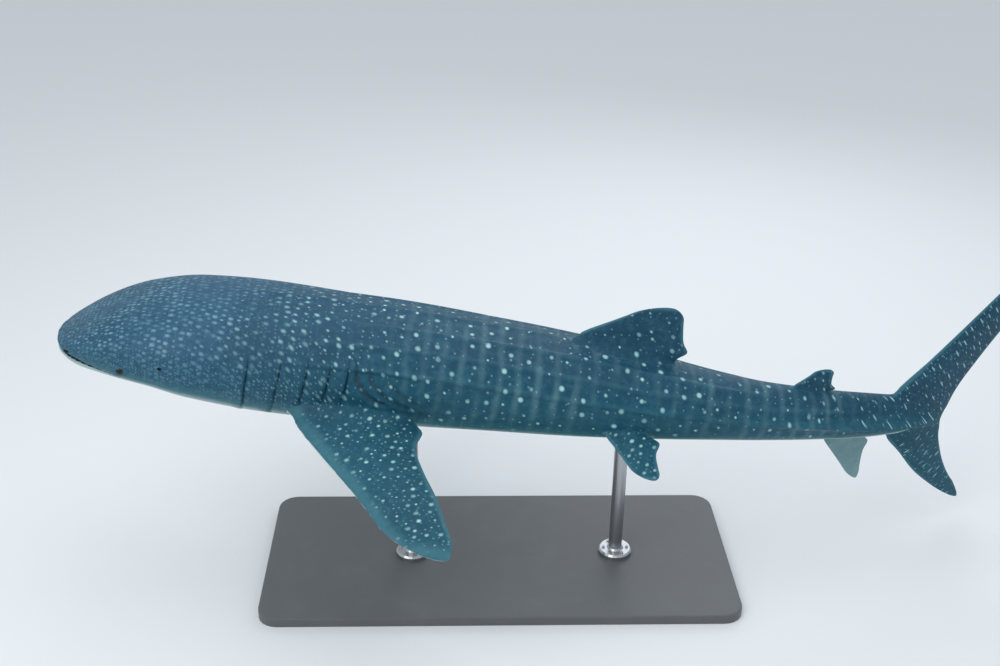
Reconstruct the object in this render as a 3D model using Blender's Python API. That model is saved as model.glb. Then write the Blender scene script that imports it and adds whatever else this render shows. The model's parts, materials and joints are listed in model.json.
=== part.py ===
"""A life-size whale shark, swimming, on a plain display stand.

Metres, +Z up. The head points to -X and the shark's left side faces -Y. The origin is the middle of
the stand's underside. The shark's shapes are written straight, in body coordinates: x runs from the
snout to the tail, y to the shark's right and z up from the body's axis. The curve of the spine
carries their points into the swimming pose.
"""

import math

import bmesh
import bpy
import numpy as np
from mathutils import Matrix, Vector

# Driving dimensions
TOTAL_LENGTH = 6.5
SEAM = 0.0003
HEAD_UP_DEGREES = 9.1
TAIL_SWING_DEGREES = 24.0
HEAD_TURN_DEGREES = 5.0
SNOUT_NOD_DEGREES = 12.0
FLOOR_CLEARANCE = 0.16

# Places along the body, as shares of the total length. The tail swings between SWING_START and
# SWING_END, the head turns between the snout's tip and HEAD_TURN_END, and the snout nods between
# its tip and SNOUT_NOD_END.
HEAD_END = 0.157
GILLS_END = 0.269
TORSO_END = 0.437
TORSO_REAR_END = 0.587
STALK_END = 0.764
CORE_END = 0.845
PIVOT = 0.392
SWING_START = 0.527
SWING_END = 0.887
HEAD_TURN_END = 0.26
SNOUT_NOD_END = 0.12

# Share of the total length, then half width, height above the axis, depth below it, and squareness
BODY_STATIONS = (
    (0.000, 0.0120, 0.0015, 0.0115, 2.2),
    (0.003, 0.0240, 0.0042, 0.0163, 2.3),
    (0.009, 0.0335, 0.0072, 0.0204, 2.4),
    (0.018, 0.0420, 0.0112, 0.0236, 2.5),
    (0.032, 0.0515, 0.0178, 0.0267, 2.5),
    (0.051, 0.0612, 0.0258, 0.0302, 2.5),
    (0.077, 0.0700, 0.0350, 0.0352, 2.4),
    (0.117, 0.0755, 0.0445, 0.0450, 2.3),
    (0.167, 0.0757, 0.0490, 0.0520, 2.2),
    (0.227, 0.0715, 0.0505, 0.0550, 2.1),
    (0.307, 0.0655, 0.0505, 0.0530, 2.05),
    (0.387, 0.0580, 0.0485, 0.0487, 2.0),
    (0.457, 0.0510, 0.0452, 0.0447, 2.0),
    (0.527, 0.0418, 0.0380, 0.0388, 2.0),
    (0.607, 0.0308, 0.0288, 0.0308, 2.0),
    (0.687, 0.0220, 0.0252, 0.0248, 2.0),
    (0.764, 0.0145, 0.0220, 0.0208, 2.0),
    (0.797, 0.0090, 0.0188, 0.0172, 2.0),
    (0.845, 0.0022, 0.0071, 0.0061, 2.0),
)

# Ridge crests, in degrees round from the back's middle line at the front and at the tail, then
# the rise and the stretch where they stand, as shares of the total length
RIDGES = (
    (25.0, 34.0, 0.0017, 0.21, 0.65),
    (46.0, 62.0, 0.0018, 0.19, 0.75),
    (68.0, 90.0, 0.0023, 0.18, 0.87),
)
BACK_RIDGE_RISE = 0.0014
RIDGE_FOOT = 0.0042
KEEL_RISE = 0.0105
KEEL_HALF_DEGREES = 24.0
WIDEST_FOOT_DEGREES = 10.0

# Gill slits: the places of the five flap edges, then the angles where each slit starts and ends
GILL_SLITS = (0.167, 0.194, 0.217, 0.236, 0.252)
GILL_TOPS = (74.0, 72.0, 71.0, 72.0, 69.0)
GILL_FEET = (128.0, 127.0, 112.0, 103.0, 100.0)
GILL_FADE_DEGREES = 11.0
GILL_LIP = 0.0011
GILL_DEPTH = 0.0036
GILL_LEAN = 0.0060

# Mouth, as shares of the total length
MOUTH_FRONT_Z = -0.0050
MOUTH_CORNER_Z = -0.0150
MOUTH_CORNER = 0.048
MOUTH_OPENING = 0.0046
MOUTH_ARCH = 0.0035
MOUTH_HALF_WIDTH = 0.066
THROAT = 0.120
THROAT_DEPTH = 0.048

# Eyes, spiracles and nostrils, as shares of the total length
EYE_PLACE = 0.059
EYE_Z = -0.0075
EYE_RADIUS = 0.0044
EYE_SUNK = 0.30
MOUND_SUNK = 0.75
MOUND_RADII = (2.1, 1.3, 1.6)
SPIRACLE_PLACE = 0.094
SPIRACLE_Z = 0.0005
NOSTRIL_PLACE = 0.010
NOSTRIL_Z = -0.0018
NOSTRIL_TURN = 0.7
SPIRACLE_RADII = (0.011, 0.022, 0.008)
NOSTRIL_RADII = (0.022, 0.018, 0.007)

# Fin outlines: how far out from the root, and the front and rear edge there, as shares of the
# total length. The last row is the reach of the round tip. FIN_EDGE is the least thickness of a
# fin, in metres.
PECTORAL = (
    (-0.030, -0.016, 0.104), (0.000, -0.003, 0.116), (0.010, 0.005, 0.1225), (0.030, 0.0185, 0.1165),
    (0.057, 0.040, 0.1245), (0.085, 0.0635, 0.1370), (0.112, 0.0840, 0.1460), (0.138, 0.1020, 0.1560),
    (0.150, 0.113, 0.1640),
)
PELVIC = (
    (-0.020, -0.004, 0.040), (0.000, 0.000, 0.042), (0.006, 0.0035, 0.0540), (0.020, 0.014, 0.0500),
    (0.034, 0.024, 0.0520), (0.046, 0.033, 0.0550),
)
FIRST_DORSAL = (
    (-0.018, -0.008, 0.106), (0.000, -0.001, 0.107), (0.006, 0.006, 0.1135), (0.015, 0.0180, 0.1075),
    (0.028, 0.0395, 0.1040), (0.039, 0.0570, 0.1020), (0.048, 0.070, 0.1005),
)
SECOND_DORSAL = (
    (-0.010, -0.004, 0.040), (0.000, 0.000, 0.040), (0.004, 0.004, 0.0490), (0.009, 0.010, 0.0430),
    (0.017, 0.019, 0.0420), (0.024, 0.025, 0.0430),
)
ANAL = (
    (-0.010, -0.004, 0.046), (0.000, 0.000, 0.046), (0.006, 0.005, 0.0545), (0.017, 0.016, 0.0520),
    (0.033, 0.032, 0.0535), (0.048, 0.046, 0.0570),
)
UPPER_LOBE = (
    (-0.012, 0.771, 0.845), (0.010, 0.768, 0.846), (0.022, 0.773, 0.849), (0.060, 0.807, 0.869),
    (0.105, 0.849, 0.898), (0.150, 0.892, 0.925), (0.188, 0.930, 0.948),
)
LOWER_LOBE = (
    (0.012, 0.771, 0.845), (0.020, 0.777, 0.845), (0.042, 0.802, 0.855), (0.065, 0.829, 0.871),
    (0.085, 0.861, 0.891), (0.101, 0.887, 0.908),
)
PECTORAL_PLACE = (0.203, 0.060, -0.0270)
PELVIC_PLACE = (0.485, 0.038, -0.020)
FIRST_DORSAL_PLACE = 0.441
SECOND_DORSAL_PLACE = 0.657
ANAL_PLACE = 0.705
PECTORAL_DOWN_DEGREES = 12.0
PECTORAL_DROOP = 0.005
PELVIC_DOWN_DEGREES = 28.0
ROUND_TIP_START = 0.80
PECTORAL_THICKNESS = 0.0150
FIRST_DORSAL_THICKNESS = 0.0115
PELVIC_THICKNESS = 0.0070
SMALL_FIN_THICKNESS = 0.0060
LOBE_THICKNESS = 0.0098
FIN_EDGE = 0.0036

# Stand, metres
BASE_SIZE = (2.9, 1.3, 0.06)
BASE_CORNER = 0.12
BASE_EDGE = 0.008
ROD_RADIUS = 0.042
ROD_PLACES = (0.307, 0.507)
COLLAR_RADIUS = 0.105
COLLAR_HEIGHT = 0.035

# How finely the surfaces are divided
BELLY_STEPS = 9
FIN_CHORD_STEPS = 7
TIP_STEPS = 4
HEAD_RINGS = (0.0, 0.0015, 0.004, 0.0075, 0.012, 0.018, 0.026, 0.036, 0.048, 0.062, 0.078, 0.096,
              0.116, 0.137)
BEHIND_GILLS = 0.2605
RING_SPACING = 0.0215
SHARP_DEGREES = 40.0

# Colours and finishes
SKIN_COLOR = (0.085, 0.150, 0.200)
BELLY_COLOR = (0.55, 0.60, 0.62)
EYE_COLOR = (0.010, 0.012, 0.015)
BASE_COLOR = (0.12, 0.125, 0.13)
STEEL_COLOR = (0.45, 0.46, 0.48)
SKIN_ROUGHNESS = 0.5


def share(length):
    """A share of the total length in metres."""
    return length * TOTAL_LENGTH


def clear_scene():
    for obj in list(bpy.data.objects):
        bpy.data.objects.remove(obj, do_unlink=True)


def smooth_through(knots, values, at):
    """A smooth curve through the knots that never overshoots them."""
    x, y = np.asarray(knots, float), np.asarray(values, float)
    step = np.diff(x)
    slope = np.diff(y) / step
    tangent = np.zeros_like(y)
    tangent[0], tangent[-1] = slope[0], slope[-1]
    before, after = slope[:-1], slope[1:]
    same_way = before * after > 0
    weight_before = 2 * step[1:] + step[:-1]
    weight_after = step[1:] + 2 * step[:-1]
    mean = np.zeros_like(before)
    mean[same_way] = (weight_before + weight_after)[same_way] / (
        weight_before[same_way] / before[same_way] + weight_after[same_way] / after[same_way]
    )
    tangent[1:-1] = mean
    at = np.asarray(at, float)
    k = np.clip(np.searchsorted(x, at, side="right") - 1, 0, len(step) - 1)
    t = (at - x[k]) / step[k]
    return (
        y[k] * (1 + 2 * t) * (1 - t) ** 2
        + tangent[k] * step[k] * t * (1 - t) ** 2
        + y[k + 1] * t * t * (3 - 2 * t)
        + tangent[k + 1] * step[k] * t * t * (t - 1)
    )


def ease(low, high, value):
    """0 below low, 1 above high, and a smooth step between."""
    t = np.clip((np.asarray(value, float) - low) / (high - low), 0, 1)
    return t * t * (3 - 2 * t)


def station(place, column):
    """One measure of the body at a place, as a share of the total length."""
    table = np.array(BODY_STATIONS)
    return smooth_through(table[:, 0], table[:, column], place)


def ridge_angle(ridge, place):
    """Angle of a ridge's crest, in radians from the back's middle line."""
    front, tail = ridge[0], ridge[1]
    return math.radians(front + (tail - front) * float(ease(0.25, 0.72, place)))


def ridge_foot(place):
    """Angle from a ridge's crest to its foot, in radians."""
    return min(RIDGE_FOOT / float(station(place, 1)), math.radians(WIDEST_FOOT_DEGREES))


def ring_angles(place):
    """Angles of a ring's points on one side, from the back's middle line to the belly's."""
    foot = ridge_foot(place)
    crests = [ridge_angle(ridge, place) for ridge in RIDGES]
    angles = [0.0, foot]
    last = foot
    for crest in crests:
        angles.append((last + crest - foot) / 2)
        angles += [crest - foot, crest, crest + foot]
        last = crest + foot
    return np.array(angles + list(np.linspace(last, math.pi, BELLY_STEPS + 1)[1:]))


def ridge_rise(place, angle):
    """Height of the ridges and of the tail's keel over the skin, as a share of the total length."""
    foot = ridge_foot(place)
    rise = BACK_RIDGE_RISE * np.clip(1 - angle / foot, 0, 1)
    rise = rise * ease(0.12, 0.20, place) * (1 - ease(0.40, 0.46, place))
    for ridge in RIDGES:
        shape = np.clip(1 - abs(angle - ridge_angle(ridge, place)) / foot, 0, 1)
        starting = ease(ridge[3], ridge[3] + 0.09, place)
        lasting = 1 - ease(ridge[4] - 0.06, ridge[4], place)
        rise = rise + shape * ridge[2] * starting * lasting
    keel_width = math.radians(KEEL_HALF_DEGREES)
    keel = np.clip(1 - abs(angle - ridge_angle(RIDGES[2], place)) / keel_width, 0, 1) ** 1.6
    return rise + KEEL_RISE * keel * ease(0.61, 0.75, place) * (1 - ease(0.79, 0.86, place))


def gill_window(number, angle):
    """1 along a gill slit, fading to 0 at its two ends."""
    top, foot, fade = (math.radians(a) for a in (GILL_TOPS[number], GILL_FEET[number], GILL_FADE_DEGREES))
    return ease(top - fade, top, angle) * (1 - ease(foot, foot + fade, angle))


def gill_places():
    """Rings that the gill flaps need: each flap's swell and edge, then its slit's floor and far side."""
    steps = (-0.0085, -0.0006, 0.0004, 0.0022, 0.0036)
    return [slit + step for slit in GILL_SLITS for step in steps]


def gill_rise(place, angle):
    """Height of the gill flaps over the skin, below 0 in the slits."""
    rise = np.zeros_like(angle)
    for number, slit in enumerate(GILL_SLITS):
        steps = (slit - 0.0130, slit - 0.0006, slit + 0.0004, slit + 0.0022, slit + 0.0036, slit + 0.0100)
        levels = (0.0, GILL_LIP, -GILL_DEPTH, -GILL_DEPTH * 0.9, -GILL_LIP, 0.0)
        rise = rise + np.interp(place, steps, levels) * gill_window(number, angle)
    return rise


def gill_lean(place, angle):
    """How far a ring bows towards the head where the gills run round the flank."""
    around = np.sin(np.clip(angle, 0, math.pi)) ** 2 * np.cos(angle)
    return GILL_LEAN * around * ease(HEAD_END, 0.182, place) * (1 - ease(0.245, GILLS_END, place))


def body_ring(place, grow=0.0):
    """Points of the body's ring at a place, in metres, grown outwards by grow."""
    angle = ring_angles(place)
    half, top, bottom = (share(float(station(place, column))) for column in (1, 2, 3))
    power = 2 / float(station(place, 4))
    height = np.where(np.cos(angle) > 0, top, bottom)
    y = half * np.abs(np.sin(angle)) ** power
    z = height * np.sign(np.cos(angle)) * np.abs(np.cos(angle)) ** power
    normal = np.stack([y / half**2, z / height**2], axis=1)
    normal /= np.linalg.norm(normal, axis=1)[:, None]
    rise = share(ridge_rise(place, angle) + gill_rise(place, angle)) + grow
    y, z = y + normal[:, 0] * rise, z + normal[:, 1] * rise
    y[[0, -1]] = 0.0
    x = share(place + gill_lean(place, angle))
    right = np.stack([x, y, z], axis=1)
    left = right[-2:0:-1] * (1, -1, 1)
    return np.concatenate([right, left])


def mesh_object(name, points, faces, material):
    mesh = bpy.data.meshes.new(name)
    mesh.from_pydata([tuple(p) for p in points], [], faces)
    if material:
        mesh.materials.append(material)
    obj = bpy.data.objects.new(name, mesh)
    bpy.context.scene.collection.objects.link(obj)
    return obj


def face_outwards(obj):
    """Turns every face of a closed mesh outwards."""
    work = bmesh.new()
    work.from_mesh(obj.data)
    bmesh.ops.recalc_face_normals(work, faces=work.faces)
    if work.calc_volume(signed=True) < 0:
        bmesh.ops.reverse_faces(work, faces=work.faces)
    work.to_mesh(obj.data)
    work.free()


def loft(name, rings, material):
    """A closed solid through rings of equal point counts, in triangles alike on both halves."""
    rings = np.asarray(rings)
    count = rings.shape[1]
    faces = []
    for i in range(len(rings) - 1):
        for j in range(count):
            a, b = i * count + j, i * count + (j + 1) % count
            c, d = b + count, a + count
            faces += [(a, b, c), (a, c, d)] if j < count // 2 else [(a, b, d), (b, c, d)]
    for start in (0, (len(rings) - 1) * count):
        faces.append((start, start + 1, start + count - 1))
        for j in range(1, count // 2):
            near, far = start + j, start + count - j
            faces.append((near, near + 1, far))
            if near + 1 < far - 1:
                faces.append((near + 1, far - 1, far))
    obj = mesh_object(name, rings.reshape(-1, 3), faces, material)
    face_outwards(obj)
    return obj


def bake_modifiers(obj):
    """Replaces an object's mesh by the one that its modifiers make."""
    graph = bpy.context.evaluated_depsgraph_get()
    made = bpy.data.meshes.new_from_object(obj.evaluated_get(graph))
    obj.modifiers.clear()
    obj.data = made


def boolean(obj, operation, others):
    """Joins closed objects to obj, or cuts them from it, and removes them."""
    group = bpy.data.collections.new(operation)
    bpy.context.scene.collection.children.link(group)
    for other in others:
        bpy.context.scene.collection.objects.unlink(other)
        group.objects.link(other)
    modifier = obj.modifiers.new(operation, "BOOLEAN")
    modifier.operation = operation
    modifier.operand_type = "COLLECTION"
    modifier.collection = group
    modifier.solver = "EXACT"
    bpy.context.view_layer.update()
    bake_modifiers(obj)
    for other in others:
        bpy.data.objects.remove(other, do_unlink=True)
    bpy.data.collections.remove(group)
    keep_largest_surface(obj)


def keep_largest_surface(obj):
    """Drops loose scraps, so that the object is one closed surface."""
    work = bmesh.new()
    work.from_mesh(obj.data)
    left, groups = set(work.faces), []
    while left:
        queue = [left.pop()]
        group = set(queue)
        while queue:
            near = {f for edge in queue.pop().edges for f in edge.link_faces} & left
            left -= near
            group |= near
            queue += near
        groups.append(group)
    groups.sort(key=lambda group: sum(face.calc_area() for face in group))
    scraps = [face for group in groups[:-1] for face in group]
    bmesh.ops.delete(work, geom=scraps, context="FACES")
    work.to_mesh(obj.data)
    work.free()


def copy_of(obj):
    twin = obj.copy()
    twin.data = obj.data.copy()
    bpy.context.scene.collection.objects.link(twin)
    return twin


def make_material(name, color, roughness, metallic=0.0):
    material = bpy.data.materials.new(name)
    material.use_nodes = True
    shader = material.node_tree.nodes["Principled BSDF"]
    shader.inputs["Base Color"].default_value = (*color, 1.0)
    shader.inputs["Roughness"].default_value = roughness
    shader.inputs["Metallic"].default_value = metallic
    material.diffuse_color = (*color, 1.0)
    return material


def spine(places):
    """Points, right-hand and upward directions of the posed spine at some places."""
    grid = np.linspace(-0.02, 1.06, 541)
    swing = math.radians(TAIL_SWING_DEGREES) * ease(SWING_START, SWING_END, grid)
    swing = swing + math.radians(HEAD_TURN_DEGREES) * (1 - ease(0, HEAD_TURN_END, grid))
    nod = math.radians(SNOUT_NOD_DEGREES) * (1 - ease(0, SNOUT_NOD_END, grid))
    pitch = math.radians(HEAD_UP_DEGREES) - nod
    level, fall = np.cos(pitch), np.sin(pitch)
    along = np.column_stack([np.cos(swing) * level, np.sin(swing) * level, -fall])
    steps = (along[1:] + along[:-1]) / 2 * share(grid[1] - grid[0])
    points = np.concatenate([np.zeros((1, 3)), np.cumsum(steps, axis=0)])
    points -= [np.interp(PIVOT, grid, points[:, k]) for k in range(3)]
    right = np.column_stack([-np.sin(swing), np.cos(swing), np.zeros_like(grid)])
    up = np.cross(along, right)
    return [np.column_stack([np.interp(places, grid, values[:, k]) for k in range(3)])
            for values in (points, right, up)]


def posed(straight):
    """Points in body coordinates, in metres, carried into the swimming pose."""
    points, right, up = spine(straight[:, 0] / TOTAL_LENGTH)
    return points + right * straight[:, 1:2] + up * straight[:, 2:3]


def posed_loft(name, rings, material):
    """A closed solid through rings in body coordinates, in the swimming pose."""
    return loft(name, [posed(ring) for ring in rings], material)


def body_places():
    """The places of all the body's rings, close together at the snout and at the gills."""
    places = [*HEAD_RINGS, HEAD_END, *gill_places(), BEHIND_GILLS]
    joints = (GILLS_END, TORSO_END, TORSO_REAR_END, STALK_END, CORE_END)
    for first, last in zip(joints, joints[1:]):
        places += list(np.linspace(first, last, round((last - first) / RING_SPACING) + 1)[:-1])
    return [*places, CORE_END]


def body_length(name, first, last, material, grow=0.0):
    """A length of the body between two places, each end that meets another length set in by half a seam."""
    inset = SEAM / 2 / TOTAL_LENGTH
    start = first + (inset if first > 0 else 0)
    end = last - (inset if last < CORE_END else 0)
    inner = [place for place in body_places() if start + 2 * inset < place < end - 2 * inset]
    return posed_loft(name, [body_ring(place, grow) for place in (start, *inner, end)], material)


def on_flank(place, side, z, sunk=0.0):
    """A point on the body's side in body coordinates, from shares of the length, sunk by some metres."""
    ring = body_ring(place)
    half = ring[: len(ring) // 2 + 1]
    reach = float(np.interp(-share(z), -half[:, 2], half[:, 1]))
    return Vector((share(place), side * (reach - sunk), share(z)))


def mouth_line(x, y):
    """Height of the closed mouth in metres, arched at the front, then falling through the throat."""
    corner, throat = share(MOUTH_CORNER), share(THROAT)
    ahead = np.clip(x / corner, -0.4, 1)
    level = share(MOUTH_FRONT_Z) + share(MOUTH_CORNER_Z - MOUTH_FRONT_Z) * ahead
    arch = share(MOUTH_ARCH) * (1 - np.clip(abs(y) / share(MOUTH_HALF_WIDTH), 0, 1) ** 2)
    fall = np.clip((x - corner) / (throat - corner), 0, 1.4) * share(THROAT_DEPTH)
    return level + arch * (1 - np.clip(ahead, 0, 1)) - fall


def mouth_cutter(name, below, material):
    """A block that ends at the mouth: it removes the jaw from the head, or the head from the jaw."""
    across = np.linspace(-share(0.1), share(0.1), 15)
    corner = share(MOUTH_CORNER)
    throat = np.linspace(corner, share(THROAT * 1.12), 5)[1:]
    sign = 1 if below else -1
    rings = []
    for x in (-share(0.02), *np.linspace(0, corner, 6), *throat, share(HEAD_END + 0.02)):
        gape = share(MOUTH_OPENING) * np.clip(1 - x / corner, 0, 1.2) ** 0.8
        level = mouth_line(x, across) + sign * (SEAM + gape) / 2
        edge = np.column_stack([np.full_like(across, x), across, level])
        far = edge * (1, 1, 0) - (0, 0, sign * share(0.12))
        rings.append(np.concatenate([edge, far[::-1]]))
    return posed_loft(name, rings, material)


def ellipsoid(name, centre, radii, turn, material, segments=16, rings=10):
    """A closed ellipsoid on the head, its centre in body coordinates, turned about the body's z axis."""
    work = bmesh.new()
    shape = Matrix.Translation(centre) @ Matrix.Rotation(turn, 4, "Z") @ Matrix.Diagonal((*radii, 1.0))
    bmesh.ops.create_uvsphere(work, u_segments=segments, v_segments=rings, radius=1.0, matrix=shape)
    for vertex, point in zip(work.verts, posed(np.array([vertex.co for vertex in work.verts]))):
        vertex.co = point
    obj = mesh_object(name, [], [], material)
    work.to_mesh(obj.data)
    work.free()
    return obj


def eye_centre(side):
    """Middle of an eyeball in body coordinates."""
    return on_flank(EYE_PLACE, side, EYE_Z, share(EYE_RADIUS * EYE_SUNK))


def add_head():
    """The head with its eye mounds, sockets, spiracles and nostrils, and the lower jaw."""
    skin = make_material("head_skin", SKIN_COLOR, SKIN_ROUGHNESS)
    head = body_length("head", 0.0, HEAD_END, skin)
    radius = share(EYE_RADIUS)
    mounds = []
    for side in (-1, 1):
        centre = on_flank(EYE_PLACE, side, EYE_Z, radius * MOUND_SUNK)
        mounds.append(ellipsoid("mound", centre, [radius * k for k in MOUND_RADII], 0.0, skin))
    boolean(head, "UNION", mounds)
    jaw = copy_of(head)
    jaw.name = "lower_jaw"
    jaw.data.materials[0] = make_material("jaw_skin", BELLY_COLOR, SKIN_ROUGHNESS)
    cuts = [mouth_cutter("mouth_below", True, skin)]
    for side in (-1, 1):
        cuts.append(ellipsoid("socket", eye_centre(side), (radius + SEAM,) * 3, 0.0, skin))
        spiracle = on_flank(SPIRACLE_PLACE, side, SPIRACLE_Z)
        cuts.append(ellipsoid("spiracle", spiracle, SPIRACLE_RADII, 0.0, skin, 10, 6))
        nostril = on_flank(NOSTRIL_PLACE, side, NOSTRIL_Z)
        cuts.append(ellipsoid("nostril", nostril, NOSTRIL_RADII, side * NOSTRIL_TURN, skin, 10, 6))
    boolean(head, "DIFFERENCE", cuts)
    boolean(jaw, "DIFFERENCE", [mouth_cutter("mouth_above", False, skin)])
    return [head, jaw]


def add_eyes():
    eyes = []
    for side, word in ((-1, "left"), (1, "right")):
        material = make_material(f"eye_{word}_glass", EYE_COLOR, 0.1)
        eyes.append(ellipsoid(f"eye_{word}", eye_centre(side), (share(EYE_RADIUS),) * 3, 0.0, material))
    return eyes


def add_trunk():
    """The body behind the head, parted by thin cuts across it."""
    lengths = (
        ("gill_region", HEAD_END, GILLS_END), ("torso", GILLS_END, TORSO_END),
        ("torso_rear", TORSO_END, TORSO_REAR_END), ("tail_stalk", TORSO_REAR_END, STALK_END),
    )
    return [body_length(name, first, last, make_material(f"{name}_skin", SKIN_COLOR, SKIN_ROUGHNESS))
            for name, first, last in lengths]


def fin_outline(table):
    """Rows of (out, front, rear) through a fin's table, with the tip drawn in to a round end."""
    out, front, rear = np.array(table).T
    round_from = out[-1] * ROUND_TIP_START
    plain = [*out[out < round_from], round_from]
    turn = np.linspace(0, math.radians(84), TIP_STEPS + 1)[1:]
    tip = round_from + (out[-1] - round_from) * np.sin(turn)
    rows = np.array([*plain, *tip])
    lead, trail = smooth_through(out, front, rows), smooth_through(out, rear, rows)
    chord = np.array([*np.ones(len(plain)), *np.cos(turn)])
    middle = lead + (trail - lead) * 0.62
    return np.column_stack([rows, middle + (lead - middle) * chord, middle + (trail - middle) * chord])


def fin(name, table, root, span, thickness, material, droop=0.0):
    """A fin from its outline table, thick in front of its middle and thin at its edges.

    root is in body coordinates as shares of the total length. span is the outward direction, and
    droop is how far the tip bends down.
    """
    span = Vector(span).normalized()
    flat = np.array(Vector((1, 0, 0)).cross(span).normalized())
    if flat[2] < 0:
        flat = -flat
    across = np.linspace(0, 1, FIN_CHORD_STEPS + 1)
    profile = 2.49 * np.sqrt(across) * (1 - across) ** 0.9
    reach = abs(table[-1][0])
    rings = []
    for out, front, rear in fin_outline(table):
        q = min(max(out / reach, 0), 1)
        swell = 1 + 0.6 * (1 - min(q / 0.25, 1)) ** 2
        half = thickness / 2 * profile * (1 - 0.8 * q) * swell * min(1, (rear - front) / 0.02)
        half = np.maximum(half, FIN_EDGE / 2 / TOTAL_LENGTH)
        half[0] = 0.0
        start = np.array(root) + out * np.array(span) - droop * q**2 * flat
        middle = start + np.outer(front + (rear - front) * across, (1, 0, 0))
        upper = middle + np.outer(half, flat)
        lower = middle - np.outer(half, flat)
        rings.append(share(np.concatenate([upper, lower[:0:-1]])))
    return posed_loft(name, rings, material)


def sideways(side, down_degrees):
    """Outward direction of a paired fin that points down by some degrees."""
    angle = math.radians(down_degrees)
    return (0, side * math.cos(angle), -math.sin(angle))


def add_fins(body):
    """The paired fins and those of the back and the belly, each cut clear of the body."""
    def back_root(place):
        return (place, 0, float(station(place + 0.02, 2)) - 0.002)

    def belly_root(place):
        return (place, 0, 0.002 - float(station(place + 0.02, 3)))

    fins = [
        fin("first_dorsal_fin", FIRST_DORSAL, back_root(FIRST_DORSAL_PLACE), (0, 0, 1),
            FIRST_DORSAL_THICKNESS, make_material("first_dorsal_skin", SKIN_COLOR, SKIN_ROUGHNESS)),
        fin("second_dorsal_fin", SECOND_DORSAL, back_root(SECOND_DORSAL_PLACE), (0, 0, 1),
            SMALL_FIN_THICKNESS, make_material("second_dorsal_skin", SKIN_COLOR, SKIN_ROUGHNESS)),
        fin("anal_fin", ANAL, belly_root(ANAL_PLACE), (0, 0, -1), SMALL_FIN_THICKNESS,
            make_material("anal_fin_skin", BELLY_COLOR, SKIN_ROUGHNESS)),
    ]
    for side, word in ((-1, "left"), (1, "right")):
        place, reach, z = PECTORAL_PLACE
        fins.append(fin(
            f"pectoral_fin_{word}", PECTORAL, (place, side * reach, z),
            sideways(side, PECTORAL_DOWN_DEGREES), PECTORAL_THICKNESS,
            make_material(f"pectoral_{word}_skin", SKIN_COLOR, SKIN_ROUGHNESS), PECTORAL_DROOP))
        place, reach, z = PELVIC_PLACE
        fins.append(fin(
            f"pelvic_fin_{word}", PELVIC, (place, side * reach, z),
            sideways(side, PELVIC_DOWN_DEGREES), PELVIC_THICKNESS,
            make_material(f"pelvic_{word}_skin", SKIN_COLOR, SKIN_ROUGHNESS)))
    for obj in fins:
        boolean(obj, "DIFFERENCE", [copy_of(body)])
    return fins


def add_caudal_fin():
    """The tail fin's two lobes. The upper one holds the wedge that the tail stalk tapers into."""
    skin = make_material("caudal_upper_skin", SKIN_COLOR, SKIN_ROUGHNESS)
    upper = body_length("caudal_fin_upper", STALK_END, CORE_END, skin)
    core = body_length("core_cutter", STALK_END - 0.01, CORE_END, skin, SEAM)
    boolean(upper, "UNION", [fin("lobe", UPPER_LOBE, (0, 0, 0), (0, 0, 1), LOBE_THICKNESS, skin)])
    lower = fin("caudal_fin_lower", LOWER_LOBE, (0, 0, -2 * SEAM / TOTAL_LENGTH), (0, 0, -1),
                LOBE_THICKNESS, make_material("caudal_lower_skin", SKIN_COLOR, SKIN_ROUGHNESS))
    boolean(lower, "DIFFERENCE", [core])
    return [upper, lower]


def add_base():
    """The flat base plate, with round corners and a softened top edge."""
    length, width, thickness = BASE_SIZE
    outline = []
    for number, (along, aside) in enumerate(((1, 1), (-1, 1), (-1, -1), (1, -1))):
        for step in range(7):
            angle = math.pi / 2 * (number + step / 6)
            outline.append((along * (length / 2 - BASE_CORNER) + BASE_CORNER * math.cos(angle),
                            aside * (width / 2 - BASE_CORNER) + BASE_CORNER * math.sin(angle)))

    def layer(inset, z):
        shrink = (1 - 2 * inset / length, 1 - 2 * inset / width)
        return np.column_stack([np.array(outline) * shrink, np.full(len(outline), z)])

    layers = [layer(0, 0), layer(0, thickness - BASE_EDGE),
              layer(BASE_EDGE * 0.3, thickness - BASE_EDGE * 0.3), layer(BASE_EDGE, thickness)]
    return loft("stand_base", layers, make_material("base_paint", BASE_COLOR, 0.5))


def turned(name, profile, centre, material, sides=24):
    """A round piece turned about a vertical line, from (radius, height) pairs."""
    turn = np.linspace(0, 2 * math.pi, sides, endpoint=False)
    circle = np.column_stack([np.cos(turn), np.sin(turn)])
    rings = [np.column_stack([centre[:2] + radius * circle, np.full(sides, z)]) for radius, z in profile]
    return loft(name, rings, material)


def add_rods(body, height):
    """Two rods from the base up to the belly, each with a foot collar and cut to the belly's curve."""
    foot = BASE_SIZE[2] + SEAM
    rods = []
    for place, word in zip(ROD_PLACES, ("front", "rear")):
        middle = spine([place])[0][0]
        profile = [
            (COLLAR_RADIUS, foot), (COLLAR_RADIUS, foot + COLLAR_HEIGHT * 0.7),
            (COLLAR_RADIUS * 0.9, foot + COLLAR_HEIGHT), (ROD_RADIUS * 1.25, foot + COLLAR_HEIGHT),
            (ROD_RADIUS, foot + COLLAR_HEIGHT * 1.3), (ROD_RADIUS, height + middle[2]),
        ]
        rod = turned(f"stand_rod_{word}", profile, middle,
                     make_material(f"rod_{word}_steel", STEEL_COLOR, 0.3, 1.0))
        boolean(rod, "DIFFERENCE", [copy_of(body)])
        rods.append(rod)
    return rods


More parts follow.
